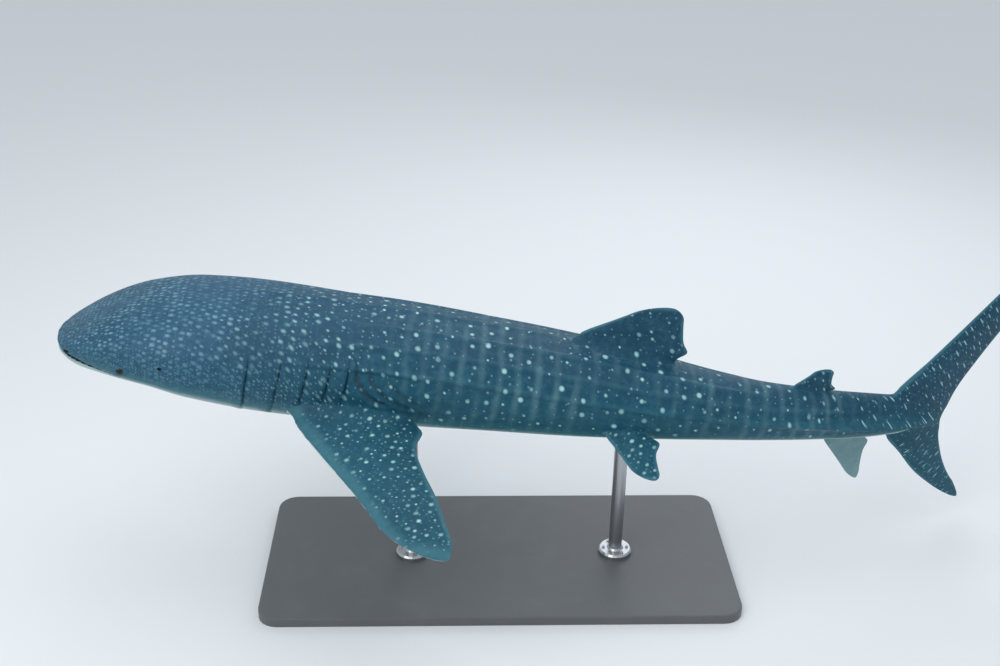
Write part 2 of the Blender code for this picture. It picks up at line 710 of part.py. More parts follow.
def build():
    clear_scene()
    body = body_length("body_cutter", 0.0, CORE_END, None, SEAM)
    shark = [*add_fins(body), *add_head(), *add_trunk(), *add_caudal_fin(), *add_eyes()]
    height = FLOOR_CLEARANCE - min(vertex.co.z for obj in shark for vertex in obj.data.vertices)
    for obj in (*shark, body):
        obj.data.transform(Matrix.Translation((0, 0, height)))
    stand = [add_base(), *add_rods(body, height)]
    bpy.data.objects.remove(body, do_unlink=True)
    for obj in (*shark, *stand):
        obj.data.shade_smooth()
        obj.data.set_sharp_from_angle(angle=math.radians(SHARP_DEGREES))


build()
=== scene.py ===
# %% [markdown]
# This script dresses a life-size whale shark, held over a flat base on two rods as a museum would
# show it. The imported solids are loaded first. They fix the sizes and the places, and every visible
# piece is built around them, so nothing has to be fitted afterwards.

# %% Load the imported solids
import json
import math

import bmesh
import bpy
import numpy as np
from mathutils import Matrix, Vector
from mathutils.kdtree import KDTree

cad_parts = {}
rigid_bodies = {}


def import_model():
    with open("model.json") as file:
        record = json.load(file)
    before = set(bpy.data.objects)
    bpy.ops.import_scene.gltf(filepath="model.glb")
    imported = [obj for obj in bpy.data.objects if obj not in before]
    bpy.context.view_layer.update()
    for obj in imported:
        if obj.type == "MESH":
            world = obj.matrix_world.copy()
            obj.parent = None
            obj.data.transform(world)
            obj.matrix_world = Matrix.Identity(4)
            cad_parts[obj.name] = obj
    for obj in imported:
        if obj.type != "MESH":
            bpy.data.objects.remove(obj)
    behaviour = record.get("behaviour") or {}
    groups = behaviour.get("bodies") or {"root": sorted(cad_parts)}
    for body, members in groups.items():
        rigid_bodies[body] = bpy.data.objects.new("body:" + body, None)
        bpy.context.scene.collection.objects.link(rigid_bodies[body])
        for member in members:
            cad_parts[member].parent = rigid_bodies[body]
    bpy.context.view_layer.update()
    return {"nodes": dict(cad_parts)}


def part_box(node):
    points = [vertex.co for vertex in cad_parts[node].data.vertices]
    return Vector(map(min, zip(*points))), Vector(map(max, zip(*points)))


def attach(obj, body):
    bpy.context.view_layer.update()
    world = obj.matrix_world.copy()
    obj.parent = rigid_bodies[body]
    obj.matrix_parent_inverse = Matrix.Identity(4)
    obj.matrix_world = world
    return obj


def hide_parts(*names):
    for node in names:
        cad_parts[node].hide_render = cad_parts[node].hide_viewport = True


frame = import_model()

print("solids:", ", ".join(sorted(frame["nodes"])))

# %% [markdown]
# The shark's sizes are the ones that its solids were made from. Nearly all of them are shares of the
# total length, because that is how the proportions of fish are measured. The body is a row of
# rings: half width, height above the axis, depth below it, and how square the ring is. Only its last
# ring, hidden in the tail fin, sits a little further forward, so that it can't poke out of the fork.

# %% Sizes of the body
TOTAL_LENGTH = 6.5
HEAD_UP_DEGREES = 9.1
TAIL_SWING_DEGREES = 24.0
HEAD_TURN_DEGREES = 5.0
SNOUT_NOD_DEGREES = 12.0
SWING_START, SWING_END = 0.527, 0.887
HEAD_TURN_END = 0.26
SNOUT_NOD_END = 0.12
PIVOT = 0.392
HEAD_END, GILLS_END, CORE_END = 0.157, 0.269, 0.840

# Place, half width, height above the axis, depth below it and squareness
BODY_STATIONS = (
    (0.000, 0.0120, 0.0015, 0.0115, 2.2),
    (0.003, 0.0240, 0.0042, 0.0163, 2.3),
    (0.009, 0.0335, 0.0072, 0.0204, 2.4),
    (0.018, 0.0420, 0.0112, 0.0236, 2.5),
    (0.032, 0.0515, 0.0178, 0.0267, 2.5),
    (0.051, 0.0612, 0.0258, 0.0302, 2.5),
    (0.077, 0.0700, 0.0350, 0.0352, 2.4),
    (0.117, 0.0755, 0.0445, 0.0450, 2.3),
    (0.167, 0.0757, 0.0490, 0.0520, 2.2),
    (0.227, 0.0715, 0.0505, 0.0550, 2.1),
    (0.307, 0.0655, 0.0505, 0.0530, 2.05),
    (0.387, 0.0580, 0.0485, 0.0487, 2.0),
    (0.457, 0.0510, 0.0452, 0.0447, 2.0),
    (0.527, 0.0418, 0.0380, 0.0388, 2.0),
    (0.607, 0.0308, 0.0288, 0.0308, 2.0),
    (0.687, 0.0220, 0.0252, 0.0248, 2.0),
    (0.764, 0.0145, 0.0220, 0.0208, 2.0),
    (0.797, 0.0090, 0.0188, 0.0172, 2.0),
    (0.840, 0.0012, 0.0045, 0.0040, 2.0),
)
STATION_TABLE = np.array(BODY_STATIONS)
PLACE, HALF, TOP, BOTTOM, SQUARE = range(5)
SIDES = ((-1, "left"), (1, "right"))


def share(length):
    """A share of the total length in metres."""
    return length * TOTAL_LENGTH


def ease(low, high, value):
    """0 below low, 1 above high, and a smooth step between."""
    t = np.clip((np.asarray(value, float) - low) / (high - low), 0, 1)
    return t * t * (3 - 2 * t)


def stretch(value, rise, fall):
    """1 between a smooth rise and a smooth fall, each given by its two ends, and 0 outside them."""
    return ease(*rise, value) * (1 - ease(*fall, value))


print("half width at the widest:", round(share(STATION_TABLE[:, HALF].max()), 3), "m")

# %% [markdown]
# Between the stations the body must stay smooth, with no bulge that the table doesn't ask for. A
# monotone cubic does that: it passes through every knot and never overshoots.

# %% A curve through the stations
def smooth_through(knots, values, at):
    """A smooth curve through the knots that never overshoots them."""
    x, y = np.asarray(knots, float), np.asarray(values, float)
    step = np.diff(x)
    slope = np.diff(y) / step
    tangent = np.zeros_like(y)
    tangent[0], tangent[-1] = slope[0], slope[-1]
    before, after = slope[:-1], slope[1:]
    same_way = before * after > 0
    weight_before = 2 * step[1:] + step[:-1]
    weight_after = step[1:] + 2 * step[:-1]
    mean = np.zeros_like(before)
    mean[same_way] = (weight_before + weight_after)[same_way] / (
        weight_before[same_way] / before[same_way] + weight_after[same_way] / after[same_way]
    )
    tangent[1:-1] = mean
    at = np.asarray(at, float)
    k = np.clip(np.searchsorted(x, at, side="right") - 1, 0, len(step) - 1)
    t = (at - x[k]) / step[k]
    return (
        y[k] * (1 + 2 * t) * (1 - t) ** 2
        + tangent[k] * step[k] * t * (1 - t) ** 2
        + y[k + 1] * t * t * (3 - 2 * t)
        + tangent[k + 1] * step[k] * t * t * (t - 1)
    )


def station(place, column):
    """One measure of the body at a place, as a share of the total length."""
    return smooth_through(STATION_TABLE[:, PLACE], STATION_TABLE[:, column], place)


print("half width at the gills:", round(share(float(station(0.2, HALF))), 3), "m")

# %% [markdown]
# A whale shark is known by the ridges that run along its back and sides. The lowest one grows into
# the broad keel of the tail. Each ring has points on every crest and foot, so the mesh's lines
# follow the ridges and their crests stay crisp.

# %% Ridges along the body
# Angle of each crest at the front and at the tail, its height, and where it starts and ends
RIDGES = (
    (25.0, 34.0, 0.0017, 0.21, 0.65),
    (46.0, 62.0, 0.0018, 0.19, 0.75),
    (68.0, 90.0, 0.0023, 0.18, 0.87),
)
RIDGE_TURN_START, RIDGE_TURN_END = 0.25, 0.72
RIDGE_STARTING, RIDGE_ENDING = 0.09, 0.06
RIDGE_FOOT = 0.0042
WIDEST_FOOT_DEGREES = 10.0
CREST_POWER = 0.8
BACK_RIDGE_RISE = 0.0014
BACK_RIDGE_START, BACK_RIDGE_END = (0.12, 0.20), (0.40, 0.46)
KEEL_RISE, KEEL_HALF_DEGREES, KEEL_POWER = 0.0105, 24.0, 1.6
KEEL_START, KEEL_END = (0.61, 0.75), (0.79, 0.86)
BETWEEN_RIDGES, RIDGE_STEPS, BELLY_STEPS = 4, 6, 40
BELLY_WIDENING = 1.35


def ridge_angle(ridge, place):
    """Angle of a ridge's crest, in radians from the back's middle line."""
    front, tail = ridge[:2]
    return np.radians(front + (tail - front) * ease(RIDGE_TURN_START, RIDGE_TURN_END, place))


def ridge_foot(place):
    """Angle from a ridge's crest to its foot, in radians."""
    return np.minimum(RIDGE_FOOT / station(place, HALF), math.radians(WIDEST_FOOT_DEGREES))


def ring_angles(place):
    """Angles of a ring's points on one side, from the back's middle line to the belly's."""
    foot = ridge_foot(place)
    angles = [0.0, foot / 2, foot]
    last = foot
    for ridge in RIDGES:
        crest = ridge_angle(ridge, place)
        angles += list(np.linspace(last, crest - foot, BETWEEN_RIDGES + 1)[1:-1])
        angles += list(crest + foot * np.linspace(-1, 1, RIDGE_STEPS + 1))
        last = crest + foot
    down = np.linspace(0, 1, BELLY_STEPS + 1)[1:] ** BELLY_WIDENING
    return np.array(angles + list(last + (math.pi - last) * down))


def bump_shape(distance, reach):
    """1 on a crest, falling in a straight slope with a soft foot."""
    return ease(0, 1, np.clip(1 - abs(distance) / reach, 0, 1)) ** CREST_POWER


def ridge_crest(ridge, place, angle):
    """1 along the crest of a ridge, falling to 0 at its feet and at its two ends."""
    *_, first, last = ridge
    lasting = stretch(place, (first, first + RIDGE_STARTING), (last - RIDGE_ENDING, last))
    return bump_shape(angle - ridge_angle(ridge, place), ridge_foot(place)) * lasting


def ridge_rise(place, angle):
    """Height of the ridges and of the tail's keel over the skin, as a share of the total length."""
    rise = BACK_RIDGE_RISE * bump_shape(angle, ridge_foot(place))
    rise = rise * stretch(place, BACK_RIDGE_START, BACK_RIDGE_END)
    for ridge in RIDGES:
        rise = rise + ridge[2] * ridge_crest(ridge, place, angle)
    away = abs(angle - ridge_angle(RIDGES[-1], place)) / math.radians(KEEL_HALF_DEGREES)
    keel = np.clip(1 - away, 0, 1) ** KEEL_POWER
    return rise + KEEL_RISE * keel * stretch(place, KEEL_START, KEEL_END)


print("points in one ring:", 2 * len(ring_angles(0.3)) - 2)

# %% [markdown]
# Five gill slits open on each side. The skin ahead of a slit is a flap: it swells, ends in a thin
# lip, and the surface then turns back under it before it climbs out behind. Rings set close
# together carry that shape, and a window over the angle lets every slit fade out at its ends.

# %% Gill flaps
# Place of each slit, and the angles where it starts and ends
GILL_SLITS = (0.167, 0.194, 0.217, 0.236, 0.252)
GILL_TOPS = (74.0, 72.0, 71.0, 72.0, 69.0)
GILL_FEET = (128.0, 127.0, 112.0, 103.0, 100.0)
GILL_FADE_DEGREES = 11.0
GILL_LEAN = 0.0060
LEAN_START, LEAN_END = (HEAD_END, 0.182), (0.245, GILLS_END)
# Distance behind the flap's lip, rise over the skin, and how far the ring is drawn in under the lip
GILL_PROFILE = (
    (-0.0140, 0.0, 0.0), (-0.0105, 0.0003, 0.0), (-0.0075, 0.0008, 0.0), (-0.0050, 0.0012, 0.0),
    (-0.0030, 0.0014, 0.0), (-0.0016, 0.0014, 0.0), (-0.0006, 0.0011, 0.0), (0.0000, 0.0005, 0.0),
    (0.0002, -0.0004, -0.0004), (0.0004, -0.0013, -0.0008), (0.0006, -0.0019, -0.0009),
    (0.0009, -0.0020, -0.0005), (0.0012, -0.0016, -0.0001), (0.0016, -0.0010, 0.0),
    (0.0022, -0.0006, 0.0), (0.0034, -0.0003, 0.0), (0.0060, -0.0001, 0.0), (0.0100, 0.0, 0.0),
)


def gill_window(number, angle):
    """1 along a gill slit, fading to 0 at its two ends."""
    top, foot, fade = np.radians((GILL_TOPS[number], GILL_FEET[number], GILL_FADE_DEGREES))
    return stretch(angle, (top - fade, top + fade), (foot, foot + fade))


def gill_shape(place, angle, column):
    """One column of the flaps' profile at a place, as a share of the total length."""
    profile = np.array(GILL_PROFILE)
    return sum(np.interp(place - slit, profile[:, 0], profile[:, column]) * gill_window(number, angle)
               for number, slit in enumerate(GILL_SLITS))


def gill_lean(place, angle):
    """How far a ring bows towards the head where the gills run round the flank."""
    around = np.sin(np.clip(angle, 0, math.pi)) ** 2 * np.cos(angle)
    return GILL_LEAN * around * stretch(place, LEAN_START, LEAN_END)


print("gill slits start", [round(share(slit), 2) for slit in GILL_SLITS], "m behind the snout")

# %% [markdown]
# Where the pectoral fin works against the body, the skin folds. Each fold is a shallow groove
# whose angle round the body changes along its length, with the skin a little swollen beside it.
# The corner of the mouth ends in such a furrow too. The folds are pressed in late, when the skin
# is one mesh, so that nothing smooths them away again.

# %% Folds in the skin
# Places and angles along each fold, then its depth and half width in metres
SKIN_FOLDS = (
    (((0.2585, 56.0), (0.2600, 68.0), (0.2635, 80.0), (0.2700, 90.0), (0.2800, 97.0), (0.2950, 103.0)),
     0.0140, 0.016),
    (((0.2700, 62.0), (0.2735, 74.0), (0.2790, 85.0), (0.2880, 93.0), (0.3020, 100.0), (0.3150, 104.0)),
     0.0110, 0.015),
    (((0.2880, 70.0), (0.2930, 80.0), (0.3010, 89.0), (0.3130, 96.0), (0.3250, 101.0)), 0.0070, 0.014),
    (((0.0460, 113.0), (0.0510, 117.0), (0.0580, 121.0), (0.0660, 123.0)), 0.0060, 0.010),
)
FOLD_START_FADE, FOLD_END_FADE = 0.08, 0.30
FOLD_SWELLING = 0.35
# How strongly the deepest fold's groove is mixed towards the painted shade's grey
FOLD_PAINTED_SHADE = 0.65
A_LITTLE = 1e-4


def fold_sink(place, angle):
    """Depth of the folds at each point, in metres."""
    sink = np.zeros_like(angle)
    reach = share(station(place, HALF))
    for path, depth, width in SKIN_FOLDS:
        places, degrees = zip(*path)
        along = (place - places[0]) / (places[-1] - places[0])
        fade = stretch(along, (0, FOLD_START_FADE), (1 - FOLD_END_FADE, 1))
        at = np.clip(place, places[0], places[-1] - A_LITTLE)
        course, next_course = (smooth_through(places, np.radians(degrees), p) for p in (at, at + A_LITTLE))
        slope = (next_course - course) * reach / share(A_LITTLE)
        across = abs(angle - course) * reach / np.hypot(1, slope)
        groove = np.exp(-((across / width) ** 2))
        swelling = np.exp(-(((across - 2 * width) / width) ** 2))
        sink = sink + depth * fade * (groove - FOLD_SWELLING * swelling)
    return sink


print("folds on each side:", len(SKIN_FOLDS))

# %% [markdown]
# Now a ring can be written as points. Its bare outline is an ellipse, made squarer by a power of its
# sine and cosine, and the ridges and flaps rise from it along its normal. The rings run from the
# snout to the wedge inside the tail fin, close together at the snout and the gills and wider apart
# where the body is plain.

# %% Rings of the body
# Size of each shrinking ring that closes an end, and how far out it lies
END_CAP = ((0.30, 0.00110), (0.60, 0.00085), (0.82, 0.00050), (0.94, 0.00020))
SNOUT_RINGS, SNOUT_CROWDING = 46, 1.7
SNOUT_END = 0.060
HEAD_SPACING, GILL_SPACING, BODY_SPACING = 0.0030, 0.0014, 0.0034
BEFORE_FLAPS, SAME_PLACE = 0.001, 1e-5
FOLDS_END = 0.341


def bare_ring(place, angle):
    """Half width and height of a ring at some angles, and its points across and up, in metres."""
    half, top, bottom = (share(float(station(place, column))) for column in (HALF, TOP, BOTTOM))
    power = 2 / float(station(place, SQUARE))
    height = np.where(np.cos(angle) > 0, top, bottom)
    y = half * np.abs(np.sin(angle)) ** power
    z = height * np.sign(np.cos(angle)) * np.abs(np.cos(angle)) ** power
    return half, height, y, z


def body_ring(place):
    """Points of the body's ring at a place, in metres, before the body is bent."""
    angle = ring_angles(place)
    half, height, y, z = bare_ring(place, angle)
    normal = np.stack([y / half**2, z / height**2], axis=1)
    normal /= np.linalg.norm(normal, axis=1)[:, None]
    rise = share(ridge_rise(place, angle) + gill_shape(place, angle, 1))
    y, z = y + normal[:, 0] * rise, z + normal[:, 1] * rise
    y[[0, -1]] = 0.0
    x = share(place + gill_lean(place, angle) + gill_shape(place, angle, 2))
    right = np.stack([x, y, z], axis=1)
    left = right[-2:0:-1] * (1, -1, 1)
    return np.concatenate([right, left])


def evenly(first, last, spacing):
    """Places from first up to last, close to a spacing, without the last."""
    return list(np.linspace(first, last, round((last - first) / spacing) + 1)[:-1])


def body_places():
    """Places of all the rings along the body."""
    flaps = sorted(slit + row[0] for slit in GILL_SLITS for row in GILL_PROFILE)
    spaced = [flaps[0]] + [b for a, b in zip(flaps, flaps[1:]) if b - a > SAME_PLACE]
    snout = [SNOUT_END * (k / SNOUT_RINGS) ** SNOUT_CROWDING for k in range(SNOUT_RINGS)]
    plain = [p for p in evenly(SNOUT_END, HEAD_END, HEAD_SPACING) if p < flaps[0] - BEFORE_FLAPS]
    fine = evenly(flaps[0], FOLDS_END, GILL_SPACING)
    clear = [p for p in fine if min(abs(p - f) for f in flaps) > GILL_SPACING / 2]
    rest = evenly(FOLDS_END, CORE_END, BODY_SPACING)
    return sorted(snout + plain + spaced + clear + rest) + [CORE_END]


def closed_ends(rings):
    """Rounds off both ends of a row of rings with shrinking copies of the last ring."""
    def shrinking(ring, steps, way):
        middle = ring.mean(0)
        return [middle + (ring - middle) * size + (way * share(out), 0, 0) for size, out in steps]

    return [*shrinking(rings[0], END_CAP, -1), *rings, *shrinking(rings[-1], END_CAP[::-1], 1)]


print("rings along the body:", len(body_places()))

# %% [markdown]
# Rings become a mesh by joining each to the next with four-sided faces. Faces of every part carry a
# number in their material index. A Boolean keeps that number, so the script can still tell a fin
# from the body once they are one skin.

# %% Meshes from rings
BODY_TAG, HEAD_TAG, CUT_TAG = range(3)
FIN_COUNT = 9
TAG_COUNT = CUT_TAG + 1 + FIN_COUNT


def in_scene(name, data):
    """A new object in the scene."""
    obj = bpy.data.objects.new(name, data)
    bpy.context.scene.collection.objects.link(obj)
    return obj


def tagged_object(name, points, faces, tag):
    """A mesh object in which every face has a number as its material index."""
    mesh = bpy.data.meshes.new(name)
    mesh.from_pydata(np.asarray(points).tolist(), [], faces)
    for _ in range(TAG_COUNT):
        mesh.materials.append(None)
    mesh.polygons.foreach_set("material_index", np.full(len(mesh.polygons), tag, np.int32))
    work = bmesh.new()
    work.from_mesh(mesh)
    bmesh.ops.recalc_face_normals(work, faces=work.faces)
    if work.calc_volume(signed=True) < 0:
        bmesh.ops.reverse_faces(work, faces=work.faces)
    work.to_mesh(mesh)
    work.free()
    return in_scene(name, mesh)


def loft(name, rings, tag, looped=False):
    """A closed shape through rings of equal point counts, capped at both ends or joined in a loop."""
    rings = np.asarray(rings)
    total, count = rings.shape[:2]
    faces = []
    for i in range(total if looped else total - 1):
        for j in range(count):
            near = (i * count + j, i * count + (j + 1) % count)
            far = [(corner + count) % (total * count) for corner in near[::-1]]
            faces.append((*near, *far))
    points = rings.reshape(-1, 3)
    if not looped:
        points = np.concatenate([points, [rings[0].mean(0), rings[-1].mean(0)]])
        for start, middle in ((0, len(points) - 2), (count * (total - 1), len(points) - 1)):
            faces += [(start + j, start + (j + 1) % count, middle) for j in range(count)]
    return tagged_object(name, points, faces, tag)


body = loft("shark_skin", closed_ends([body_ring(place) for place in body_places()]), BODY_TAG)
print("faces of the bare body:", len(body.data.polygons))

# %% [markdown]
# The fins are drawn as outlines: how far out, then the front and rear edge there. Each row of an
# outline becomes a ring, thick in front of its middle and thin at the rear as a real fin is, and
# the tip is drawn in to a round end.

# %% Sizes of the fins
PECTORAL = (
    (-0.030, -0.016, 0.104), (0.000, -0.003, 0.116), (0.010, 0.005, 0.1225), (0.030, 0.0185, 0.1165),
    (0.057, 0.040, 0.1245), (0.085, 0.0635, 0.1370), (0.112, 0.0840, 0.1460), (0.138, 0.1020, 0.1560),
    (0.150, 0.113, 0.1640),
)
PELVIC = (
    (-0.020, -0.004, 0.040), (0.000, 0.000, 0.042), (0.006, 0.0035, 0.0540), (0.020, 0.014, 0.0500),
    (0.034, 0.024, 0.0520), (0.046, 0.033, 0.0550),
)
FIRST_DORSAL = (
    (-0.018, -0.008, 0.106), (0.000, -0.001, 0.107), (0.006, 0.006, 0.1135), (0.015, 0.0180, 0.1075),
    (0.028, 0.0395, 0.1040), (0.039, 0.0570, 0.1020), (0.048, 0.070, 0.1005),
)
SECOND_DORSAL = (
    (-0.010, -0.004, 0.040), (0.000, 0.000, 0.040), (0.004, 0.004, 0.0490), (0.009, 0.010, 0.0430),
    (0.017, 0.019, 0.0420), (0.024, 0.025, 0.0430),
)
ANAL = (
    (-0.010, -0.004, 0.046), (0.000, 0.000, 0.046), (0.006, 0.005, 0.0545), (0.017, 0.016, 0.0520),
    (0.033, 0.032, 0.0535), (0.048, 0.046, 0.0570),
)
UPPER_LOBE = (
    (-0.012, 0.771, 0.842), (0.010, 0.768, 0.846), (0.022, 0.773, 0.849), (0.060, 0.807, 0.869),
    (0.105, 0.849, 0.898), (0.150, 0.892, 0.925), (0.188, 0.930, 0.948),
)
LOWER_LOBE = (
    (0.004, 0.771, 0.843), (0.020, 0.777, 0.845), (0.042, 0.802, 0.855), (0.065, 0.829, 0.871),
    (0.085, 0.861, 0.891), (0.101, 0.887, 0.908),
)
# Place along the body, distance from its middle and height of the paired fins' roots
PECTORAL_PLACE, PELVIC_PLACE = (0.203, 0.060, -0.0270), (0.485, 0.038, -0.020)
FIRST_DORSAL_PLACE, SECOND_DORSAL_PLACE, ANAL_PLACE = 0.441, 0.657, 0.705
PECTORAL_DOWN_DEGREES, PELVIC_DOWN_DEGREES = 12.0, 28.0
PECTORAL_DROOP = 0.005
ROOT_BEHIND, ROOT_SUNK = 0.02, 0.002
ROUND_TIP_START, ROUND_TIP_DEGREES, ROUND_TIP_MIDDLE = 0.80, 86, 0.62
ROOT_SWELLING, ROOT_SWELLING_END = 0.6, 0.25
TIP_THINNING, THIN_CHORD = 0.8, 0.02
FIN_EDGE = 0.0034
# A wing's section: steep at the front, and drawn out to a thin rear edge
PROFILE_SCALE, PROFILE_POWER = 2.49, 0.9
CHORD_STEPS, OUTLINE_STEPS, TIP_STEPS = 20, 44, 10
CORNER_ROUNDS = 3


def middle_root(place, column, way):
    """Root of a fin on the back's middle line or the belly's."""
    return (place, 0, way * (float(station(place + ROOT_BEHIND, column)) - ROOT_SUNK))


def sideways(side, down_degrees):
    """Outward direction of a paired fin that points down by some degrees."""
    angle = math.radians(down_degrees)
    return (0, side * math.cos(angle), -math.sin(angle))


print("pectoral fins reach", round(share(PECTORAL[-1][0]), 2), "m out from the body")

# %% A fin from its outline
def outline_rows(table):
    """Rows of (out, front, rear) through a fin's table, with the tip drawn in to a round end."""
    out, front, rear = np.array(table).T
    round_from = out[-1] * ROUND_TIP_START
    turn = np.linspace(0, math.radians(ROUND_TIP_DEGREES), TIP_STEPS + 1)[1:]
    tip = round_from + (out[-1] - round_from) * np.sin(turn)
    rows = np.array([*np.linspace(out[0], round_from, OUTLINE_STEPS), *tip])
    lead, trail = smooth_through(out, front, rows), smooth_through(out, rear, rows)
    for _ in range(CORNER_ROUNDS):
        trail[1:-1] = (trail[:-2] + 2 * trail[1:-1] + trail[2:]) / 4
    chord = np.array([*np.ones(OUTLINE_STEPS), *np.cos(turn)])
    middle = lead + (trail - lead) * ROUND_TIP_MIDDLE
    return np.column_stack([rows, middle + (lead - middle) * chord, middle + (trail - middle) * chord])


def fin(name, table, root, span, thickness, droop, tag):
    """A fin's closed shape, and what is needed later to find a point's place on it."""
    span = Vector(span).normalized()
    flat = np.array(Vector((1, 0, 0)).cross(span).normalized())
    if flat[2] < 0:
        flat = -flat
    turn = np.linspace(0, math.pi, CHORD_STEPS + 1)
    across = (1 - np.cos(turn)) / 2
    profile = PROFILE_SCALE * np.sqrt(across) * (1 - across) ** PROFILE_POWER
    reach = abs(table[-1][0])
    rings = []
    for out, front, rear in outline_rows(table):
        q = min(max(out / reach, 0), 1)
        swell = 1 + ROOT_SWELLING * (1 - min(q / ROOT_SWELLING_END, 1)) ** 2
        thin = (1 - TIP_THINNING * q) * swell * min(1, (rear - front) / THIN_CHORD)
        half = thickness / 2 * profile * thin
        half = np.maximum(half, FIN_EDGE / 2 / TOTAL_LENGTH)
        half[0] = 0.0
        start = np.array(root) + out * np.array(span) - droop * q**2 * flat
        middle = start + np.outer(front + (rear - front) * across, (1, 0, 0))
        upper, lower = middle + np.outer(half, flat), middle - np.outer(half, flat)
        rings.append(share(np.concatenate([upper, lower[:0:-1]])))
    facts = dict(tag=tag, table=table, root=np.array(root), span=np.array(span), flat=flat, droop=droop)
    return loft(name, rings, tag), facts


# Name, outline, root, direction and thickness, and the droop of the pectoral fins
FINS = [
    ("first_dorsal", FIRST_DORSAL, middle_root(FIRST_DORSAL_PLACE, TOP, 1), (0, 0, 1), 0.0115, 0.0),
    ("second_dorsal", SECOND_DORSAL, middle_root(SECOND_DORSAL_PLACE, TOP, 1), (0, 0, 1), 0.0060, 0.0),
    ("anal", ANAL, middle_root(ANAL_PLACE, BOTTOM, -1), (0, 0, -1), 0.0060, 0.0),
    ("upper_lobe", UPPER_LOBE, (0, 0, 0), (0, 0, 1), 0.0098, 0.0),
    ("lower_lobe", LOWER_LOBE, (0, 0, 0), (0, 0, -1), 0.0098, 0.0),
]
PAIRED_FINS = (("pectoral", PECTORAL, PECTORAL_PLACE, PECTORAL_DOWN_DEGREES, 0.0150, PECTORAL_DROOP),
               ("pelvic", PELVIC, PELVIC_PLACE, PELVIC_DOWN_DEGREES, 0.0070, 0.0))
for side, word in SIDES:
    for name, table, (place, reach, z), down, thickness, droop in PAIRED_FINS:
        root = (place, side * reach, z)
        FINS.append((f"{name}_{word}", table, root, sideways(side, down), thickness, droop))

fin_shapes, fin_facts = [], {}
for number, (name, *sizes) in enumerate(FINS):
    shape, facts = fin(name, *sizes, CUT_TAG + 1 + number)
    fin_shapes.append(shape)
    fin_facts[name] = facts
print("fins:", ", ".join(fin_facts))

# %% [markdown]
# The head's small forms are closed shapes of their own: a mound and a fleshy rim for each eye, lips
# along the mouth, and a short flap beside each nostril. They are joined to the body with one
# Boolean union, and the mouth, the eye sockets, the nostrils and the spiracles behind the eyes are
# then cut with one Boolean difference.

# %% Sizes of the head's small forms
MOUTH_FRONT_Z, MOUTH_CORNER_Z = -0.0050, -0.0150
MOUTH_CORNER, MOUTH_OPENING, MOUTH_ARCH, MOUTH_HALF_WIDTH = 0.048, 0.0046, 0.0035, 0.066
# How far the mouth's line goes on ahead of the snout, in lengths of the mouth, and how its opening closes
MOUTH_AHEAD, WIDEST_GAPE, GAPE_POWER = 0.4, 1.2, 0.8
EYE_PLACE, EYE_Z, EYE_RADIUS, EYE_SUNK = 0.059, -0.0075, 0.0044, 0.30
# Sizes of the mound and of the rim, in radii of the eye
MOUND_SUNK, MOUND_RADII = 0.75, (2.1, 1.3, 1.6)
RIM_HALVES, RIM_PROUD, RIM_RADIUS = (0.74, 0, 0.62), 0.66, 0.17
SPIRACLE_PLACE, SPIRACLE_Z, SPIRACLE_RADII = 0.094, 0.0005, (0.011, 0.022, 0.008)
NOSTRIL_PLACE, NOSTRIL_Z, NOSTRIL_TURN = 0.010, -0.0018, 0.7
NOSTRIL_RADII = (0.022, 0.018, 0.007)
FLAP_BELOW, FLAP_SUNK, FLAP_AHEAD, FLAP_RADII = 0.0012, 0.004, 0.012, (0.014, 0.008, 0.006)
# The lips: radius in metres, how far they stand out and lie under the skin in radii, and their thinning
LIP_RADIUS, LIP_PROUD, LIP_SUNK, LIP_THINNING = 0.012, 0.45, 0.55, 0.65
LIP_END, LIP_CROWDING = 0.985, 1.6
LIP_SEARCH_FROM, LIP_SEARCHES = 0.05, 4
SOCKET_GAP = 0.0006


def on_flank(place, side, z, sunk=0.0):
    """A point on the body's side, from shares of the length, sunk by some metres."""
    ring = body_ring(place)
    half = ring[: len(ring) // 2 + 1]
    reach = float(np.interp(-share(z), -half[:, 2], half[:, 1]))
    return np.array((share(place), side * (reach - sunk), share(z)))


def mouth_line(x, y):
    """Height of the closed mouth in metres, arched at the front."""
    ahead = np.clip(x / share(MOUTH_CORNER), -MOUTH_AHEAD, 1)
    level = share(MOUTH_FRONT_Z) + share(MOUTH_CORNER_Z - MOUTH_FRONT_Z) * ahead
    arch = share(MOUTH_ARCH) * (1 - np.clip(abs(y) / share(MOUTH_HALF_WIDTH), 0, 1) ** 2)
    return level + arch * (1 - np.clip(ahead, 0, 1))


def gape(x):
    """Height of the mouth's opening in metres."""
    return share(MOUTH_OPENING) * np.clip(1 - x / share(MOUTH_CORNER), 0, WIDEST_GAPE) ** GAPE_POWER


print("mouth opens by", round(float(gape(0.0)) * 1000), "mm at the front")

# %% Lips, eye mounds and nostril flaps
LIP_STEPS, LIP_FRONT_STEPS, LIP_SIDES = 30, 15, 14
RIM_STEPS, RIM_SIDES = 40, 12


def round_shape(name, centre, radii, turn=0.0, tag=HEAD_TAG, segments=48, rings=32):
    """A closed ellipsoid, turned about the vertical axis."""
    work = bmesh.new()
    shape = Matrix.Translation(centre) @ Matrix.Rotation(turn, 4, "Z") @ Matrix.Diagonal((*radii, 1.0))
    bmesh.ops.create_uvsphere(work, u_segments=segments, v_segments=rings, radius=1.0, matrix=shape)
    mesh = bpy.data.meshes.new(name)
    work.to_mesh(mesh)
    work.free()
    points = [v.co[:] for v in mesh.vertices]
    return tagged_object(name, points, [p.vertices[:] for p in mesh.polygons], tag)


